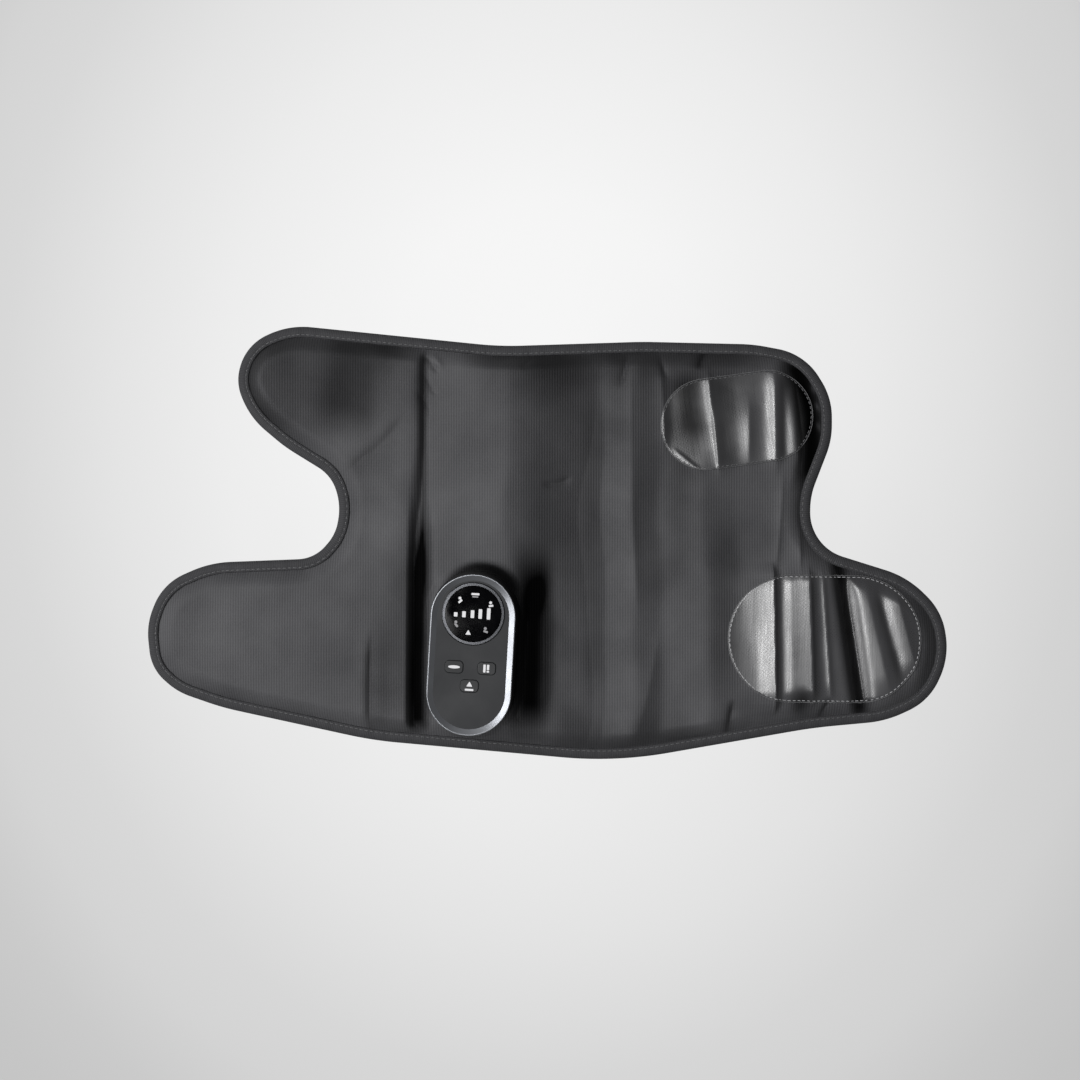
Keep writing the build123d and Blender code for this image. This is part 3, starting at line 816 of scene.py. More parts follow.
UPPER_STRAP = Panel("upper_strap", -240, STRAP_CUT, Side.UPPER_STRAP_UNDER, Side.TOP,
                    ("left_panel", "upper_strap"), (-153.5, -170))
LOWER_STRAP = Panel("lower_strap", -300, STRAP_CUT, Side.BOTTOM, Side.LOWER_STRAP_OVER,
                    ("left_panel", "lower_strap"), (-153.5, -170))
WING = Panel("right_wing", WING_CUT, 220, Side.WING_UNDER, Side.TOP, ("right_wing",))
TAB = Panel("right_tab", WING_CUT, 300, Side.BOTTOM, Side.TAB_OVER, ("right_wing", "right_tab"), (214, 234))
PANELS = (
    UPPER_STRAP,
    LOWER_STRAP,
    Panel("left_panel", STRAP_CUT, -45, Side.BOTTOM, Side.TOP, ("bay", "left_panel"), (-88, -100)),
    Panel("bay", -45, 36, Side.BOTTOM, Side.TOP, ("bay", "right_panel"), (-10, 10)),
    Panel("right_panel", 36, WING_CUT, Side.BOTTOM, Side.TOP, ("right_panel", "right_wing"), (62, 82)),
    WING,
    TAB,
)


def add_node(
    tree: Tree, kind: str, inputs: dict[str | int, object] | None = None, **settings: object
) -> bpy.types.Node:
    """Adds a shader node.

    Args:
        tree: the material's node tree.
        kind: the node's type without its leading ShaderNode.
        inputs: values or linked outputs by input name or number.
        **settings: the node's own options.

    Returns:
        The node.
    """
    made = tree.nodes.new(f"ShaderNode{kind}")
    for name, value in settings.items():
        setattr(made, name, value)
    for key, value in (inputs or {}).items():
        if isinstance(value, Socket):
            tree.links.new(value, made.inputs[key])
        else:
            made.inputs[key].default_value = value
    return made


def empty_tree(owner: Material | bpy.types.World) -> Tree:
    """Turns on the nodes of a material or world and takes its first ones away."""
    owner.use_nodes = True
    owner.node_tree.nodes.clear()
    return owner.node_tree


def noise(tree: Tree, place: Socket, scale: float, detail: float) -> Socket:
    """Cloudy noise from 0 to 1, with about as many clouds to a millimetre as its scale says."""
    return add_node(tree, "TexNoise", {"Vector": place, "Scale": scale, "Detail": detail}).outputs[0]


def mix(tree: Tree, share: float, first: Socket, second: Socket) -> Socket:
    """Two patterns mixed, with a share of the second."""
    return add_node(tree, "Mix", {0: share, 2: first, 3: second}).outputs[0]


def mix_colours(tree: Tree, share: Socket, first: object, second: object) -> Socket:
    """Two colours mixed, with a share of the second."""
    return add_node(tree, "Mix", {0: share, 6: first, 7: second}, data_type="RGBA").outputs[2]


def maths(tree: Tree, operation: str, *values: object) -> Socket:
    """The result of one operation on two or three values."""
    return add_node(tree, "Math", dict(enumerate(values)), operation=operation).outputs[0]


def remap(tree: Tree, value: Socket, start: Place, end: Place) -> Socket:
    """A value moved from one range to another and kept within it."""
    return add_node(tree, "MapRange", dict(enumerate((value, *start, *end)))).outputs[0]


def bands(tree: Tree, place: Socket, spacing: float, turn: float, wander: float) -> Socket:
    """Even bands across a direction, as a wave texture.

    Args:
        tree: the material's node tree.
        place: the place on the surface in millimetres.
        spacing: millimetres from band to band.
        turn: degrees that the bands are turned from upright.
        wander: how far the bands stray.

    Returns:
        The bands' output from 0 to 1.
    """
    turning = (0.0, 0.0, math.radians(turn))
    across = add_node(tree, "Mapping", {"Vector": place, "Rotation": turning}).outputs[0]
    wave_period = 2 * math.pi / 20
    inputs = {"Vector": across, "Scale": wave_period / spacing, "Distortion": wander}
    return add_node(tree, "TexWave", inputs, wave_type="BANDS", bands_direction="X").outputs[1]


class Coordinates(Enum):
    """Which places a finish's pattern is laid out on."""

    OBJECT = "Object"
    CLOTH = "UV"


@dataclass(frozen=True)
class Finish:
    """A surface made of one material: colours, gloss, and the numbers of its pattern."""

    name: str
    colour: str
    roughness: float
    shade: str
    metallic: float = 0.0
    ior: float = 1.5
    sheen: float = 0.0
    specular: float = 0.5
    grain: float = 0.4
    bump: float = 0.05
    # Share of the painted shade in the fold attribute that this finish takes.
    fold_shade: float = 0.0
    gloss_pattern: float = 0.05
    gloss_spread: float = 0.05
    gloss_clouds: float = 0.035
    coordinates: Coordinates = Coordinates.OBJECT

    def pattern(self, tree: Tree, place: Socket) -> Socket:
        """The pattern from 0 to 1 that shifts the colour and raises the surface: moulded grain by default.

        Args:
            tree: the material's node tree.
            place: the place on the surface in millimetres.

        Returns:
            The pattern's output.
        """
        return noise(tree, place, 1 / self.grain, 3.0)

    def tint(self, tree: Tree, place: Socket, colour: Socket) -> Socket:
        """Changes the colour further over the whole piece. A plain finish leaves it."""
        return colour

    def material(self) -> Material:
        """Builds the material: pattern, mix of shade and colour, uneven gloss, bump and the shader."""
        made = bpy.data.materials.new(self.name)
        tree = empty_tree(made)
        source = add_node(tree, "TexCoord").outputs[self.coordinates.value]
        size = 1.0 if self.coordinates is Coordinates.CLOTH else 1.0 / MM
        place = add_node(tree, "Mapping", {"Vector": source, "Scale": (size, size, size)}).outputs[0]
        pattern = self.pattern(tree, place)
        colour = mix_colours(tree, pattern, linear(self.shade), linear(self.colour))
        gloss = (self.roughness - self.gloss_spread, self.roughness + self.gloss_spread)
        rough = remap(tree, noise(tree, place, self.gloss_clouds, 4.0), (0.3, 0.7), gloss)
        rough = maths(tree, "MULTIPLY_ADD", pattern, -self.gloss_pattern, rough)
        colour, metallic = self.tint(tree, place, colour), self.metallic
        if self.fold_shade:
            # Painted shade from the fold attribute: the colour goes toward black, and metallic rises with it
            # so the gloss mirrors only that black.
            fold = add_node(tree, "Attribute", attribute_name="fold").outputs[2]
            metallic = maths(tree, "MULTIPLY", fold, self.fold_shade)
            colour = mix_colours(tree, metallic, colour, linear("#000000"))
        height = {"Height": pattern, "Distance": self.bump * MM, "Strength": 1.0}
        surface = {
            "Base Color": colour,
            "Roughness": rough,
            "Metallic": metallic,
            "IOR": self.ior,
            "Sheen Weight": self.sheen,
            "Sheen Roughness": 0.5,
            "Specular IOR Level": self.specular,
            "Normal": add_node(tree, "Bump", height).outputs[0],
        }
        shader = add_node(tree, "BsdfPrincipled", surface).outputs[0]
        add_node(tree, "OutputMaterial", {"Surface": shader})
        return made


@dataclass(frozen=True)
class RibbedNylon(Finish):
    """Woven nylon with upright ribs: thread spacing along and across, and the tint of its rubbed nap."""

    rib: float = 1.9
    weft: float = 1.1
    rubbed: str = "#8A8A8C"
    coordinates: Coordinates = Coordinates.CLOTH

    def pattern(self, tree: Tree, place: Socket) -> Socket:
        """Upright ribs with finer cross threads and uneven yarn."""
        ribs, threads = bands(tree, place, self.rib, 0.0, 0.6), bands(tree, place, self.weft, 90.0, 0.8)
        return mix(tree, 0.4, mix(tree, 0.3, ribs, threads), noise(tree, place, 0.8, 2.0))

    def tint(self, tree: Tree, place: Socket, colour: Socket) -> Socket:
        """Lightens the nap in faint patches where it has been rubbed."""
        share = remap(tree, noise(tree, place, 0.02, 5.0), (0.35, 0.75), (0.0, 0.1))
        return mix_colours(tree, share, colour, linear(self.rubbed))


@dataclass(frozen=True)
class CrossedThreads(Finish):
    """Cloth or tape whose threads cross at two slants."""

    spacing: float = 1.4
    slant: float = 45.0
    other_slant: float = -45.0
    fuzz: float = 0.4
    coordinates: Coordinates = Coordinates.CLOTH

    def pattern(self, tree: Tree, place: Socket) -> Socket:
        """The product of two sets of bands, roughened by fuzz."""
        one, other = (bands(tree, place, self.spacing, turn, 0.5) for turn in (self.slant, self.other_slant))
        return mix(tree, self.fuzz, maths(tree, "MULTIPLY", one, other), noise(tree, place, 1.6, 3.0))


@dataclass(frozen=True)
class HookTape(CrossedThreads):
    """Hook tape: crossed ground threads under hooks that stand in long upright strands."""

    strand: float = 1.2
    strand_length: float = 30.0

    def pattern(self, tree: Tree, place: Socket) -> Socket:
        """Crossed threads mixed with a noise that is drawn out along the strands."""
        ground = super().pattern(tree, place)
        drawn = (1 / self.strand, 1 / self.strand_length, 1.0)
        strands = add_node(tree, "Mapping", {"Vector": place, "Scale": drawn}).outputs[0]
        return mix(tree, 0.7, ground, noise(tree, strands, 1.0, 3.0))


@dataclass(frozen=True)
class Cells(Finish):
    """A surface of small cells, such as loops, foam or board traces."""

    def pattern(self, tree: Tree, place: Socket) -> Socket:
        """Distance from the nearest cell's middle."""
        return add_node(tree, "TexVoronoi", {"Vector": place, "Scale": 1 / self.grain}).outputs[0]


FINISHES: dict[str, Finish] = {
    # Brushed polyester knit: dull, soft, a little lighter where the fibres stand up.
    "lining_fabric": CrossedThreads(
        "brushed_polyester_knit", "#4C4D50", 0.92, "#333437", sheen=0.3, bump=0.25, spacing=1.7
    ),
    # Open polyurethane foam: matte, grainy.
    "foam": Cells("polyurethane_foam", "#3E3E40", 0.95, "#262628", grain=1.2, bump=0.3),
    # TPU film: smooth with a low gloss.
    "bladder": Finish("tpu_film", "#2E3033", 0.38, "#232527", grain=9.0),
    # Polyester grosgrain tape: ribs across the tape, darker than the cloth.
    "binding_tape": CrossedThreads(
        "polyester_grosgrain", "#3A3A3C", 0.72, "#242426", sheen=0.02, specular=0.2, bump=0.14,
        spacing=1.3, slant=0.0, other_slant=0.0, fuzz=0.35
    ),
    # Napped nylon loops: no gloss at all, fluffy.
    "loop_tape": Cells(
        "nylon_loop_pile", "#3A3B3D", 0.97, "#1E1F21", sheen=0.5, grain=1.1, bump=0.5,
        coordinates=Coordinates.CLOTH
    ),
    # Nylon hook tape: clear stiff hooks give a silky gloss over a grey ground; it takes the painted shade of
    # the folds.
    "hook_tape": HookTape(
        "nylon_hook_tape", "#424244", 0.46, "#242426", specular=0.95, ior=1.55, gloss_pattern=0.3,
        spacing=1.8, slant=38.0, other_slant=-52.0, fold_shade=0.97
    ),
    # ABS housing with a fine spark-eroded texture.
    "housing_plastic": Finish("textured_abs", "#101012", 0.5, "#0B0B0C", grain=0.35),
    # ABS with satin silver paint: bright where it faces a light.
    "trim_plastic": Finish(
        "satin_silver_paint", "#808286", 0.42, "#727478", metallic=0.85, grain=0.2, bump=0.01
    ),
    # PMMA and ABS face with a satin lacquer.
    "panel_plastic": Finish(
        "satin_lacquered_abs", "#242527", 0.45, "#1E1F21", specular=0.15, grain=0.25, bump=0.012
    ),
    "gasket_rubber": Finish("silicone_rubber", "#161617", 0.75, "#101011", grain=1.0),
    # Chromed ABS ring, darkened.
    "bezel_plastic": Finish(
        "smoked_chrome_plate", "#2C2D30", 0.24, "#222326", metallic=0.7, grain=0.3, bump=0.01
    ),
    # Smoked PMMA lens: black and glossy.
    "lens_plastic": Finish(
        "smoked_acrylic", "#030304", 0.07, "#020203", ior=1.49, specular=0.06, grain=6.0, bump=0.002
    ),
    "display_module": Finish("display_module_abs", "#0C0C0D", 0.5, "#080809"),
    "circuit_board": Cells("solder_masked_fibreglass", "#1F4A2E", 0.35, "#12301D", grain=2.4, bump=0.04),
    "switch_plastic": Finish("nylon_66", "#1A1A1B", 0.5, "#131314"),
    "battery_can": Finish("pvc_sleeved_steel", "#2B4C7A", 0.35, "#243F66", grain=4.0, bump=0.02),
    "motor_can": Finish("zinc_plated_steel", "#A6A8AB", 0.3, "#8F9194", metallic=1.0, grain=1.4, bump=0.02),
    "pump_plastic": Finish("glass_filled_nylon", "#232324", 0.6, "#19191A", grain=0.8, bump=0.06),
    "hose_rubber": Finish("silicone_hose", "#D8D8D2", 0.45, "#C9C9C2", grain=2.0, bump=0.02),
    "socket_steel": Finish(
        "nickel_plated_steel", "#B9BABC", 0.25, "#A2A3A6", metallic=1.0, grain=1.0, bump=0.01
    ),
    "clamp_plastic": Finish("polypropylene", "#1E1E20", 0.55, "#171718", grain=0.8, bump=0.04),
    "screw_steel": Finish("black_zinc_screw", "#5A5B5E", 0.35, "#48494C", metallic=1.0, grain=0.8, bump=0.02),
    "button_plastic": Finish(
        "satin_abs_button", "#1E1F21", 0.45, "#18191B", specular=0.2, grain=0.25, bump=0.01
    ),
    # Ribs of the real cloth are about 0.5 mm apart; they are drawn at 1.9 mm so that they show.
    # The outer cloth takes the painted shade of its folds and the controller's painted shadow.
    "outer_fabric": RibbedNylon(
        "ribbed_nylon_twill", "#464648", 0.6, "#262628", sheen=0.02, specular=0.16, bump=0.18, fold_shade=0.98
    ),
}
# Pad-printed ink: opaque, dead smooth, nearly white.
WHITE_INK = Finish("pad_printed_ink", "#C6C6C8", 0.45, "#B6B6B8", grain=0.3, bump=0.004)
GREY_INK = Finish("faded_printed_ink", "#7C7C7E", 0.45, "#6C6C6E", grain=0.3, bump=0.004)
# Sewing thread: bonded polyester, smooth filament with a slight shine.
DARK_THREAD = Finish(
    "bonded_polyester_thread", "#4A4A4C", 0.5, "#333335", sheen=0.2, grain=0.5, coordinates=Coordinates.CLOTH
)
PALE_THREAD = Finish(
    "pale_polyester_thread", "#9A9A9C", 0.5, "#7A7A7C", sheen=0.2, grain=0.5, coordinates=Coordinates.CLOTH
)


def attach(piece: bpy.types.Object, panel: Panel, material: Material) -> None:
    """Gives a cloth piece its material; parents it to its panel's body if there is only one, else applies its
    transform.

    Args:
        piece: the finished object.
        panel: the panel whose one body it is parented to.
        material: its material.
    """
    piece.data.materials.append(material)
    if len(panel.bodies) == 1:
        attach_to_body(piece, panel.bodies[0])
    else:
        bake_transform(piece)
    log.info("%s: %d faces on %s", piece.name, len(piece.data.polygons), " and ".join(panel.bodies))


@dataclass(frozen=True)
class Stitch:
    """One kind of stitch: how far apart the stitches are, and the grain of thread that shows of each."""

    pitch: float
    length: float
    width: float
    height: float

    def sew(self, maker: MeshMaker, centres: Array, ways: Array, level: Array) -> None:
        """Adds a row of stitches, each a lens-shaped grain of thread.

        A stitch is a ring of six points at four stations; the ring's size is the square root of one minus
        the square of the station's place.

        Args:
            maker: the mesh they are added to.
            centres: rows of x and y.
            ways: rows of the unit direction of each stitch.
            level: height of each stitch's middle.
        """
        stations = np.array([-0.96, -0.5, 0.5, 0.96])
        around = np.arange(6) * math.pi / 3
        size = np.sqrt(1.0 - stations**2)
        along = stations[:, None] * self.length / 2 + 0 * around
        aside = size[:, None] * np.cos(around) * self.width / 2
        up = size[:, None] * np.sin(around) * self.height / 2
        way_x, way_y = ways.T[..., None, None]
        x = centres[:, 0, None, None] + way_x * along - way_y * aside
        y = centres[:, 1, None, None] + way_y * along + way_x * aside
        points = np.stack([x, y, level[:, None, None] + up], axis=-1)
        for grain in maker.add_points(points, points[..., :2]):
            maker.skin(grain, flip=True, closed=True)
            maker.cap(grain[0], flip=True)
            maker.cap(grain[-1])


LOOP_PATCHES = ((UPPER_STRAP, Stadium(40, 46, 12, -191, 115)), (LOWER_STRAP, Stadium(80, 62, 16, -235, -68)))


@dataclass
class Wrap:
    """The cloth wrap: covers over padding, linings, edge binding with its stitches, and loop patches."""

    outline: Outline
    relief: Relief
    materials: dict[str, Material]
    thread: Material
    step: float = 1.05
    row_ease: float = 0.4
    tuck: float = 1.2
    seam_level: float = 1.8
    lining_level: float = 0.3
    lining_lift: float = 0.75
    lining_overlap: float = 0.4
    lining_ease: float = 1.8
    lining_ripple: float = 0.12
    lining_waves: Place = (11.0, 4.7)
    lining_most: float = 1.0
    pucker_height: float = 0.5
    pucker_width: float = 1.2
    fold_lines: tuple[float, ...] = (-161.0, -94.0, 0.0, 72.0, 224.0)
    binding_width: float = 8.0
    binding_top: float = 4.1
    binding_step: float = 1.6
    # The binding's section as insets and heights: the upper leaf's over its top, the others' over the table.
    leaf_over: tuple[Place, ...] = (
        (8.0, -0.5), (7.2, -0.05), (6.2, -0.3), (5.2, 0.1), (3.6, 0.0), (2.0, -0.4), (0.9, -1.0),
        (0.25, -1.6), (0.0, -2.2),
    )
    leaf_under: tuple[Place, ...] = ((0.25, 1.0), (0.9, 0.35), (2.5, 0.1), (5.0, 0.0), (8.0, 0.0))
    leaf_inside: tuple[Place, ...] = ((8.0, 0.9), (1.3, 0.9), (1.3, 2.7), (8.0, 2.8))
    leaf_soft: float = 4.0
    stitch: Stitch = Stitch(3.8, 2.9, 0.7, 0.55)
    stitch_point: int = 2
    stitch_rise: float = 0.12
    loop_step: float = 1.4
    loop_level: float = 0.25
    loop_top: float = 0.9

    def edges(self, panel: Panel) -> tuple[Array, Array, Array]:
        """A panel's columns and the y of its lower and upper end in each.

        A strap or lobe is cut from its neighbour along a level line from the notch's deepest place.

        Args:
            panel: the panel.

        Returns:
            The columns' x, and the y of both ends.
        """
        low_x, low_y = self.outline.height_of(panel.low, self.tuck)
        high_x, high_y = self.outline.height_of(panel.high, self.tuck)
        x_from = max(panel.x_from, low_x[0], high_x[0]) if panel.left_end else panel.x_from
        x_to = min(panel.x_to, max(low_x[-1], high_x[-1])) if panel.right_end else panel.x_to
        stops = {x_from, x_to}
        for places in (low_x, high_x):
            stops.update(float(p) for p in (places[0], places[-1]) if x_from < p < x_to)
        marks = sorted(stops)
        columns = [marks[0] + END_GAP * panel.left_end]
        for start, end in zip(marks, marks[1:]):
            ease_start = start > x_from or panel.left_end
            ease_end = end < x_to or panel.right_end
            columns.extend(eased_steps(start, end, self.step, ease_start, ease_end)[1:].tolist())
        columns[-1] -= END_GAP * panel.right_end
        x = np.array(columns)
        return x, np.interp(x, low_x, low_y), np.interp(x, high_x, high_y)

    def grid(self, panel: Panel) -> tuple[Array, Array]:
        """A panel's grid of x and y: upright chords from edge to edge, with rows closer at both ends.

        The share along a chord is the row's share less the row ease times the sine of its turn, in turns.

        Args:
            panel: the panel.

        Returns:
            Grids of x and y, a row for each column of the wrap.
        """
        columns, low, high = self.edges(panel)
        rows = int(np.max(high - low) / self.step)
        share = np.linspace(0.0, 1.0, rows + 1)
        share = share - np.sin(2 * math.pi * share) * self.row_ease / (2 * math.pi)
        y = low[:, None] + (high - low)[:, None] * share[None, :]
        return np.broadcast_to(columns[:, None], y.shape), y

    def slab(self, panel: Panel, part: str, slot: str, places: tuple[Array, Array], shaped: Array,
             flat: float, nodes: tuple[str, ...], fold: Array | float = 0.0) -> None:
        """Makes a closed piece of cloth with one shaped side and one flat side.

        Args:
            panel: the panel it belongs to.
            part: the piece's name after the panel's.
            slot: the record's material slot.
            places: grids of x and y.
            shaped: grid of the shaped side's heights.
            flat: height of the flat side.
            nodes: the CAD nodes it stands for, each named without its panel.
            fold: grid of the share of painted shade.
        """
        maker = MeshMaker(f"{panel.name}_{part}")
        over = bool(shaped.mean() > flat)
        numbers = maker.add_points(np.stack([*places, shaped], axis=-1), np.stack(places, axis=-1), fold)
        maker.skin(numbers, flip=not over)
        ring = rim_of(numbers)
        level = maker.points[0][ring]
        level[:, 2] = flat
        base = maker.add_points(level, level[:, :2])
        maker.skin(np.stack([ring, base]), flip=over, rounded=False, closed=True)
        maker.cap(base, flip=over)
        piece = maker.build()
        attach(piece, panel, self.materials[slot])
        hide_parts(*[f"{panel.name}_{node}" for node in nodes])

    def build(self) -> None:
        """Makes every piece of the wrap."""
        for panel in PANELS:
            self.cover(panel)
            self.lining(panel)
            self.binding(panel)
        for panel, patch in LOOP_PATCHES:
            self.loops(panel, patch)

    def cover(self, panel: Panel) -> None:
        """Makes the padded outer cloth of a panel: its relief over a flat base at the edge seam, with its
        painted shade.
        """
        places = self.grid(panel)
        self.slab(panel, "cover", "outer_fabric", places, self.relief.height(*places), self.seam_level,
                  ("outer_cover", "foam_pad"), self.relief.painted_shade(*places))

    def lining(self, panel: Panel) -> None:
        """Makes the lining: tucked over the binding's lower leaf and puckered along the fold lines.

        Args:
            panel: the panel it belongs to.
        """
        x, y = self.grid(panel)
        inner = self.outline.depth(x, y) - self.binding_width + self.lining_overlap
        lift = self.lining_lift * (1.0 - smooth(inner / self.lining_ease))
        for line in self.fold_lines:
            lift = lift + self.pucker_height * np.exp(-(((x - line) / self.pucker_width) ** 2))
        waves = np.sin(y / self.lining_waves[1]) * np.sin(x / self.lining_waves[0])
        lift = lift + self.lining_ripple * (1 + waves)
        shaped = self.lining_level + np.minimum(lift, self.lining_most)
        bladder = ("air_bladder",) if panel.name in ("left_panel", "right_panel") else ()
        self.slab(panel, "inner_lining", "lining_fabric", (x, y), shaped, self.seam_level,
                  ("lining", *bladder))

    def loops(self, panel: Panel, patch: Stadium) -> None:
        """Makes the loop patch let into a strap's lining."""
        x, y = patch.grid(self.loop_step)[:2]
        shaped = self.loop_level * (1.0 - np.clip(patch.inside(x, y), 0.0, 1.0))
        self.slab(panel, "loops", "loop_tape", (x, y), shaped, self.loop_top, ("loop_patch",))

    def profile(self, travel: Array) -> tuple[Array, Array]:
        """The binding's cross-section at places along the edge: a leaf over, round the edge, a leaf under.

        The upper leaf puckers by sine waves of the travel, and dips where it is stitched.

        Args:
            travel: distances along the edge.

        Returns:
            The insets of the section's points, and a grid of their heights with a row for each distance.
        """
        over, rest = np.array(self.leaf_over).T, np.array(self.leaf_under + self.leaf_inside).T
        pucker = 0.18 * np.sin(travel / 1.9) * np.sin(travel / 13.0) + 0.12 * np.sin(travel / 5.1)
        weight = np.concatenate([np.clip(over[0] / self.leaf_soft, 0, 1), 0 * rest[0]])
        heights = np.concatenate([self.binding_top + over[1], rest[1]])
        insets = np.concatenate([over[0], rest[0]])
        return insets, heights[None, :] + pucker[:, None] * weight[None, :]

    def binding(self, panel: Panel) -> None:
        """Makes the tape folded round a panel's open edge, and the stitches that hold it.

        The tape is its cross-section carried along the edge, each point on the line at its own inset.

        Args:
            panel: the panel it belongs to.
        """
        tape, sewing = MeshMaker(f"{panel.name}_binding"), MeshMaker(f"{panel.name}_binding_stitches")
        inset = self.leaf_over[self.stitch_point][0]
        for start_side, start_x, end_side, end_x in panel.runs:
            start = self.outline.run_end(start_side, start_x, True)
            end = self.outline.run_end(end_side, end_x, False)
            if end < start:
                end += self.outline.length
            travel = np.linspace(start, end, int((end - start) / self.binding_step) + 1)
            insets, heights = self.profile(travel)
            lines = np.stack([self.outline.at(place, travel) for place in insets], axis=1)
            across = np.concatenate([[0.0], np.cumsum(np.abs(np.diff(insets)))])
            uv = np.stack(np.broadcast_arrays(travel[:, None], across[None, :]), axis=-1)
            numbers = tape.add_points(np.concatenate([lines, heights[..., None]], axis=-1), uv)
            tape.skin(numbers, closed=True)
            tape.cap(numbers[0])
            tape.cap(numbers[-1], flip=True)
            count = int((end - start) / self.stitch.pitch)
            middles = start + (np.arange(count) + 0.5) * (end - start) / count
            line = self.outline.at(inset, middles)
            ways = unit(self.outline.at(inset, middles + 0.5) - line)
            level = self.profile(middles)[1][:, self.stitch_point] + self.stitch_rise
            self.stitch.sew(sewing, line, ways, level)
        piece = tape.build()
        attach(piece, panel, self.materials["binding_tape"])
        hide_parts(f"{panel.name}_edge_binding")
        attach(sewing.build(), panel, self.thread)


@dataclass
class HookPatch:
    """A patch of hook tape sewn on the outer cloth, with its stitches and edge thread."""

    name: str
    shape: Stadium
    panel: Panel
    nodes: tuple[str, ...]
    relief: Relief
    thickness: float = 0.9
    sunk: float = 0.5
    step: float = 1.0
    edge_round: float = 1.4
    cord_radius: float = 0.4
    cord_unevenness: float = 0.12
    cord_inset: float = 0.35
    cord_level: float = 0.55
    cord_step: float = 1.2
    stitch: Stitch = Stitch(3.6, 2.7, 0.7, 0.5)
    stitch_inset: float = 1.5
    stitch_rise: float = 0.05

    def build(self, tape: Material, cord: Material, thread: Material) -> None:
        """Makes the tape, its row of stitches and the cord over its edge.

        Args:
            tape: material of the hook tape.
            cord: material of the edge cord.
            thread: material of the stitches.
        """
        x, y, u, v = self.shape.grid(self.step)
        # The patch takes the painted shade of the cloth under it.
        ground, fold = self.relief.height(x, y), self.relief.painted_shade(x, y)
        round_share = np.clip(self.shape.inside(x, y) / self.edge_round, 0.0, 1.0)
        top = ground + self.thickness * np.sqrt(1.0 - (1.0 - round_share) ** 2)
        maker = MeshMaker(self.name)
        uv = np.stack([u, v], axis=-1)
        upper = maker.add_points(np.stack([x, y, top], axis=-1), uv, fold)
        lower = maker.add_points(np.stack([x, y, ground - self.sunk], axis=-1), uv, fold)
        maker.skin(upper)
        maker.skin(lower, flip=True)
        maker.skin(np.stack([rim_of(upper), rim_of(lower)]), flip=True, rounded=False, closed=True)
        piece = maker.build()
        attach(piece, self.panel, tape)
        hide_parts(*self.nodes)
        attach(self.edge(), self.panel, cord)
        attach(self.stitches(), self.panel, thread)

    def edge(self) -> bpy.types.Object:
        """Makes the edge cord: a ring of uneven radius swept round the patch on its edge."""
        line = self.shape.ring(self.cord_inset, self.cord_step)
        aside = leftward(unit(np.roll(line, -1, axis=0) - np.roll(line, 1, axis=0)))
        level = self.relief.height(*line.T) + self.cord_level * self.thickness
        around = np.arange(8) * math.pi / 4
        radius = self.cord_radius * (1.0 + self.cord_unevenness * np.sin(np.arange(len(line)) * 2.1))
        flat = line[:, None] + aside[:, None] * (radius[:, None] * np.cos(around))[..., None]
        height = level[:, None] + radius[:, None] * np.sin(around)
        maker = MeshMaker(f"{self.name}_edge")
        numbers = maker.add_points(np.concatenate([flat, height[..., None]], axis=-1), flat)
        maker.skin(np.vstack([numbers, numbers[:1]]), flip=True, closed=True)
        return maker.build()

    def stitches(self) -> bpy.types.Object:
        """Makes the row of stitches just inside the edge."""
        maker = MeshMaker(f"{self.name}_stitches")
        starts = self.shape.ring(self.stitch_inset, self.stitch.pitch)
        ways = unit(np.roll(starts, -1, axis=0) - starts)
        centres = starts + ways * self.stitch.pitch / 2
        level = self.relief.height(*centres.T) + self.thickness + self.stitch_rise
        self.stitch.sew(maker, centres, ways, level)
        return maker.build()


MARK_POINTS = 48
# Share of a mark's size where its corners are cut short.
MARK_CUT = 0.93


@dataclass(frozen=True)
class Mark:
    """A printed shape: a softened polygon with a number of corners, a size and a turn."""

    x: float
    y: float
    width: float
    height: float
    corners: int = 4
    turn: float = 0.0
    faded: bool = False

    def outline(self) -> tuple[Array, Array]:
        """Points of the shape, counter-clockwise, with the first corner of a triangle upward.

        The polygon's radius at an angle is the cosine of half a sector over the cosine of the angle from
        the middle of the nearest side, cut short a little at the corners.
        """
        angle = np.linspace(0.0, 2 * math.pi, MARK_POINTS, endpoint=False)
        sector = 2 * math.pi / self.corners
        first_corner = math.pi / 2 - sector / 2 * (self.corners == 4)
        off_middle = np.mod(angle - first_corner, sector) - sector / 2
        radius = np.minimum(math.cos(sector / 2) / np.cos(off_middle), MARK_CUT)
        flat_side = 1.0 / math.cos(sector / 2) if self.corners == 4 else 1.0
        u = flat_side * radius * np.cos(angle) * self.width / 2
        v = flat_side * radius * np.sin(angle) * self.height / 2
        return turned(u, v, self.turn, self.x, self.y)


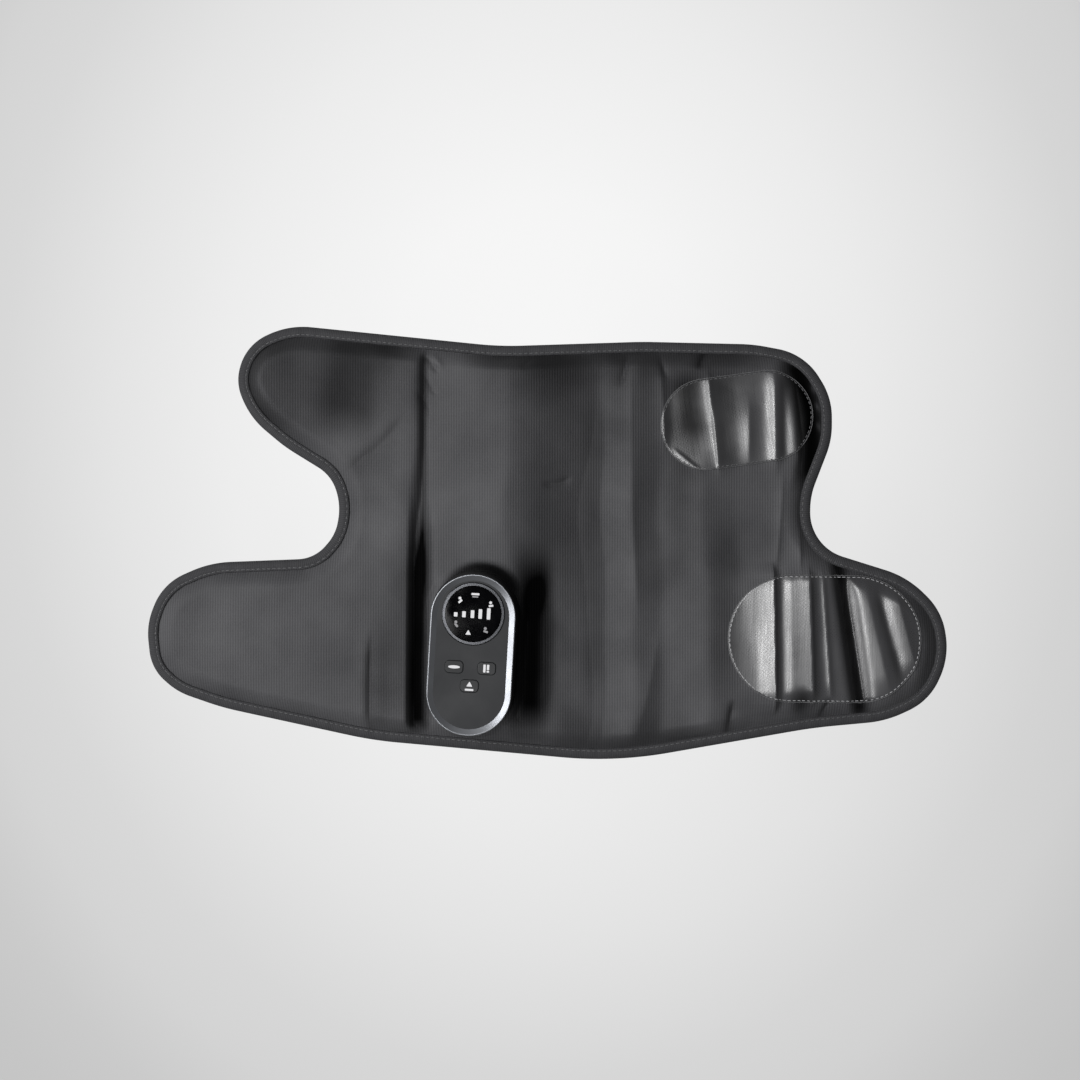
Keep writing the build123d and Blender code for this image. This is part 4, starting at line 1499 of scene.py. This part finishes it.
@dataclass
class Controller:
    """The pump controller: finishes for its CAD parts, and the marks printed on it."""

    inks: tuple[Material, Material]
    x: float = -54.2
    y: float = -78.9
    lean: float = -3.2
    display: Place = (0.0, 29.0)
    lens_top: float = 39.6
    cap_top: float = 40.0
    ink_below: float = 0.02
    ink_above: float = 0.06
    # Each button's centre and its sign about that centre.
    buttons: tuple[tuple[str, Place, tuple[Mark, ...]], ...] = (
        ("mode", (-11.5, -9.0), (Mark(0, 0, 9.0, 2.4, corners=16),)),
        ("level", (11.5, -9.0),
         (Mark(-1.5, 0, 1.7, 5.6), Mark(1.0, 0.9, 1.7, 3.8), Mark(1.0, -2.1, 1.7, 1.3))),
        ("power", (0.0, -22.0), (Mark(0, 0.9, 5.0, 4.8, corners=3), Mark(0, -2.6, 6.0, 1.4))),
    )
    # Angles of the small signs round the display, each a dot and dash apart from the bar and the triangle.
    sign_angles: tuple[float, ...] = (87.0, 33.0, -50.0, -102.0, -149.0, 136.0)
    bar_sign: int = 0
    triangle_sign: int = 3
    faint_signs: tuple[int, ...] = (2, 4)
    sign_ring: float = 14.0
    bar_places: tuple[float, ...] = (-12.4, -6.6, -0.6, 4.9, 10.8)
    bar_level: float = -1.0
    bar_rise: float = 0.4
    bar_size: Place = (2.5, 3.0)
    bar_growth: float = 1.25

    def dress(self, materials: dict[str, Material]) -> None:
        """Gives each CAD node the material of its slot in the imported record."""
        slots = {part["node"]: part["material_slot"] for part in frame["record"]["subparts"]}
        for name, node in frame["nodes"].items():
            node.data.materials.clear()
            node.data.materials.append(materials[slots[name]])

    def display_marks(self) -> list[Mark]:
        """The display's marks about the lens's centre: a ring of small signs and five growing bars."""
        marks = []
        for number, angle in enumerate(self.sign_angles):
            x = self.sign_ring * math.cos(math.radians(angle))
            y = self.sign_ring * math.sin(math.radians(angle))
            faint = number in self.faint_signs
            if number == self.bar_sign:
                marks += [Mark(x, y, 5.6, 1.5), Mark(x, y - 1.9, 4.2, 0.9, faded=True)]
            elif number == self.triangle_sign:
                marks.append(Mark(x, y, 4.6, 4.6, corners=3))
            else:
                marks += [Mark(x, y + 0.9, 2.2, 2.2, corners=16, faded=faint),
                          Mark(x + 0.4, y - 1.3, 3.2, 1.5, turn=angle / 3, faded=faint)]
        width, height = self.bar_size
        for number, x in enumerate(self.bar_places):
            middle = self.bar_rise * number + self.bar_level
            marks.append(Mark(x, middle, width, height + self.bar_growth * number))
        return marks

    def print_marks(self, name: str, marks: list[Mark], middle: Place, level: float, body: str) -> None:
        """Makes a group of marks as thin films of ink.

        Args:
            name: the piece's name.
            marks: the marks about the middle.
            middle: the middle's place on the controller.
            level: height of the surface they are printed on.
            body: the body they ride on.
        """
        maker = MeshMaker(name)
        shades = []
        levels = (level - self.ink_below, level + self.ink_above)
        for mark in marks:
            u, v = mark.outline()
            x, y = turned(u + middle[0], v + middle[1], self.lean, self.x, self.y)
            rings = np.stack([np.stack([x, y, 0 * x + z], axis=-1) for z in levels])
            numbers = maker.add_points(rings, rings[..., :2])
            before = len(maker.faces)
            maker.skin(numbers, flip=True, rounded=False, closed=True)
            maker.cap(numbers[1])
            maker.cap(numbers[0], flip=True)
            shades += [int(mark.faded)] * (len(maker.faces) - before)
        piece = maker.build()
        for ink in self.inks:
            piece.data.materials.append(ink)
        piece.data.polygons.foreach_set("material_index", shades)
        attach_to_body(piece, body)
        log.info("%s: %d marks on %s", name, len(marks), body)

    def build(self) -> None:
        """Prints the display's and the buttons' marks."""
        self.print_marks("display_marks", self.display_marks(), self.display, self.lens_top, "bay")
        for name, middle, marks in self.buttons:
            self.print_marks(f"{name}_button_mark", list(marks), middle, self.cap_top, f"{name}_button")


def hang(name: str, data: bpy.types.ID, place: tuple[float, float, float]) -> bpy.types.Object:
    """Puts a camera or lamp at a place given in millimetres."""
    made = bpy.data.objects.new(name, data)
    made.location = [v * MM for v in place]
    bpy.context.scene.collection.objects.link(made)
    return made


@dataclass(frozen=True)
class Lamp:
    """A soft lamp aimed at the wrap's middle: where it hangs, its level side and other side, its watts."""

    name: str
    place: tuple[float, float, float]
    size: Place
    power: float

    def build(self) -> None:
        """Makes the lamp."""
        data = bpy.data.lights.new(self.name, "AREA")
        data.shape = "RECTANGLE"
        data.size, data.size_y = (side * MM for side in self.size)
        data.energy = self.power
        made = hang(self.name, data, self.place)
        made.rotation_mode = "QUATERNION"
        made.rotation_quaternion = made.location.to_track_quat("Z", "Y")


@dataclass
class Studio:
    """Pale floor, soft light from the left and above, and the camera over the wrap.

    The floor lies as far below the wrap as the panels reach when they are folded.
    """

    camera_place: tuple[float, float, float] = (-5.55, 2.2, 850.0)
    frame_width: float = 799.2
    sensor: float = 36.0
    lamps: tuple[Lamp, ...] = (
        Lamp("key_light", (-2600.0, 250.0, 2350.0), (3000.0, 900.0), 130.0),
        Lamp("strip_light", (-340.0, -20.0, 2000.0), (1600.0, 200.0), 24.0),
    )
    sky: float = 0.12
    backdrop: float = 0.8
    glow: float = 0.92
    # Painted pool of light on the floor: tones by distance from its middle, in reaches, brightest under the
    # wrap.
    floor_tones: tuple[tuple[float, str], ...] = (
        (0.0, "#F7F7F7"), (0.3, "#F4F4F4"), (0.6, "#EBEBEB"), (0.8, "#E2E2E2"), (1.0, "#D6D6D6"),
        (1.12, "#D2D2D2"), (1.25, "#C9C9C9"), (1.37, "#C4C4C4"), (1.6, "#C1C1C1"),
    )
    floor_size: float = 30000.0
    floor_level: float = -300.0
    floor_middle: Place = (2.0, 139.9)
    floor_reach: float = 541.2
    floor_squash: float = 0.8

    def build(self) -> None:
        """Makes the camera, the floor, the lights and the world."""
        data = bpy.data.cameras.new("camera")
        data.sensor_width = self.sensor
        data.lens = self.sensor * self.camera_place[2] / self.frame_width
        bpy.context.scene.camera = hang("camera", data, self.camera_place)
        self.floor()
        for lamp in self.lamps:
            lamp.build()
        self.world()
        bpy.context.scene.view_settings.view_transform = "Standard"

    def floor(self) -> None:
        """Makes the floor, with a painted pool of light: pale under the wrap and a little darker far from it.
        """
        half = self.floor_size / 2
        maker = MeshMaker("floor")
        corners = np.array([[[x, y, self.floor_level] for y in (-half, half)] for x in (-half, half)])
        maker.skin(maker.add_points(corners, corners[..., :2]))
        table = maker.build()
        made = bpy.data.materials.new("pale_table")
        tree = empty_tree(made)
        source = add_node(tree, "TexCoord").outputs["Object"]
        # The ramp ends at two reaches.
        step = 1.0 / (2.0 * self.floor_reach * MM)
        scale = (step, self.floor_squash * step, 0.0)
        shift = (-self.floor_middle[0] * MM * scale[0], -self.floor_middle[1] * MM * scale[1], 0.0)
        spread = add_node(tree, "Mapping", {"Vector": source, "Location": shift, "Scale": scale}).outputs[0]
        far = add_node(tree, "VectorMath", {0: spread}, operation="LENGTH").outputs["Value"]
        ramp = add_node(tree, "ValToRGB", {0: far})
        steps = ramp.color_ramp.elements
        while len(steps) < len(self.floor_tones):
            steps.new(1.0)
        for element, (place, tone) in zip(steps, self.floor_tones):
            element.position = place / 2.0
            element.color = linear(tone)
        matt = add_node(tree, "BsdfDiffuse", {"Color": ramp.outputs[0]}).outputs[0]
        # The floor glows with the painted tones for camera rays, though it is no lamp.
        bright = add_node(tree, "Emission", {"Color": ramp.outputs[0]}).outputs[0]
        camera_ray = add_node(tree, "LightPath").outputs["Is Camera Ray"]
        seen = maths(tree, "MULTIPLY", camera_ray, self.glow)
        mixed = add_node(tree, "MixShader", {0: seen, 1: matt, 2: bright}).outputs[0]
        add_node(tree, "OutputMaterial", {"Surface": mixed})
        table.data.materials.append(made)

    def world(self) -> None:
        """Makes the room's even light, seen as a pale grey backdrop."""
        world = bpy.data.worlds.new("room")
        bpy.context.scene.world = world
        tree = empty_tree(world)
        camera_ray = add_node(tree, "LightPath").outputs["Is Camera Ray"]
        level = remap(tree, camera_ray, (0.0, 1.0), (self.sky, self.backdrop))
        light = add_node(tree, "Background", {"Color": (1.0, 1.0, 1.0, 1.0), "Strength": level}).outputs[0]
        add_node(tree, "OutputWorld", {"Surface": light})


def main() -> None:
    """Builds the studio, the wrap, its patches and the controller."""
    logging.basicConfig(level=logging.INFO, format="%(name)s: %(message)s")
    Studio().build()
    materials = {slot: finish.material() for slot, finish in FINISHES.items()}
    controller = Controller((WHITE_INK.material(), GREY_INK.material()))
    dark, pale = DARK_THREAD.material(), PALE_THREAD.material()
    outline = Outline()
    relief = Relief(outline, LooseCloth(outline))
    controller.dress(materials)
    controller.build()
    Wrap(outline, relief, materials, dark).build()
    upper, lower = Stadium(113, 67, 33.5, 138.9, 89.9, 8), Stadium(142.5, 93.6, 46.8, 202.4, -70.2, -1)
    lower_nodes = ("right_wing_lower_hook_patch", "right_tab_hook_patch")
    hooks = materials["hook_tape"]
    upper_nodes = ("right_wing_upper_hook_patch",)
    HookPatch("upper_hook_patch", upper, WING, upper_nodes, relief).build(hooks, dark, dark)
    HookPatch("lower_hook_patch", lower, TAB, lower_nodes, relief).build(hooks, dark, pale)


if __name__ == "__main__":
    main()
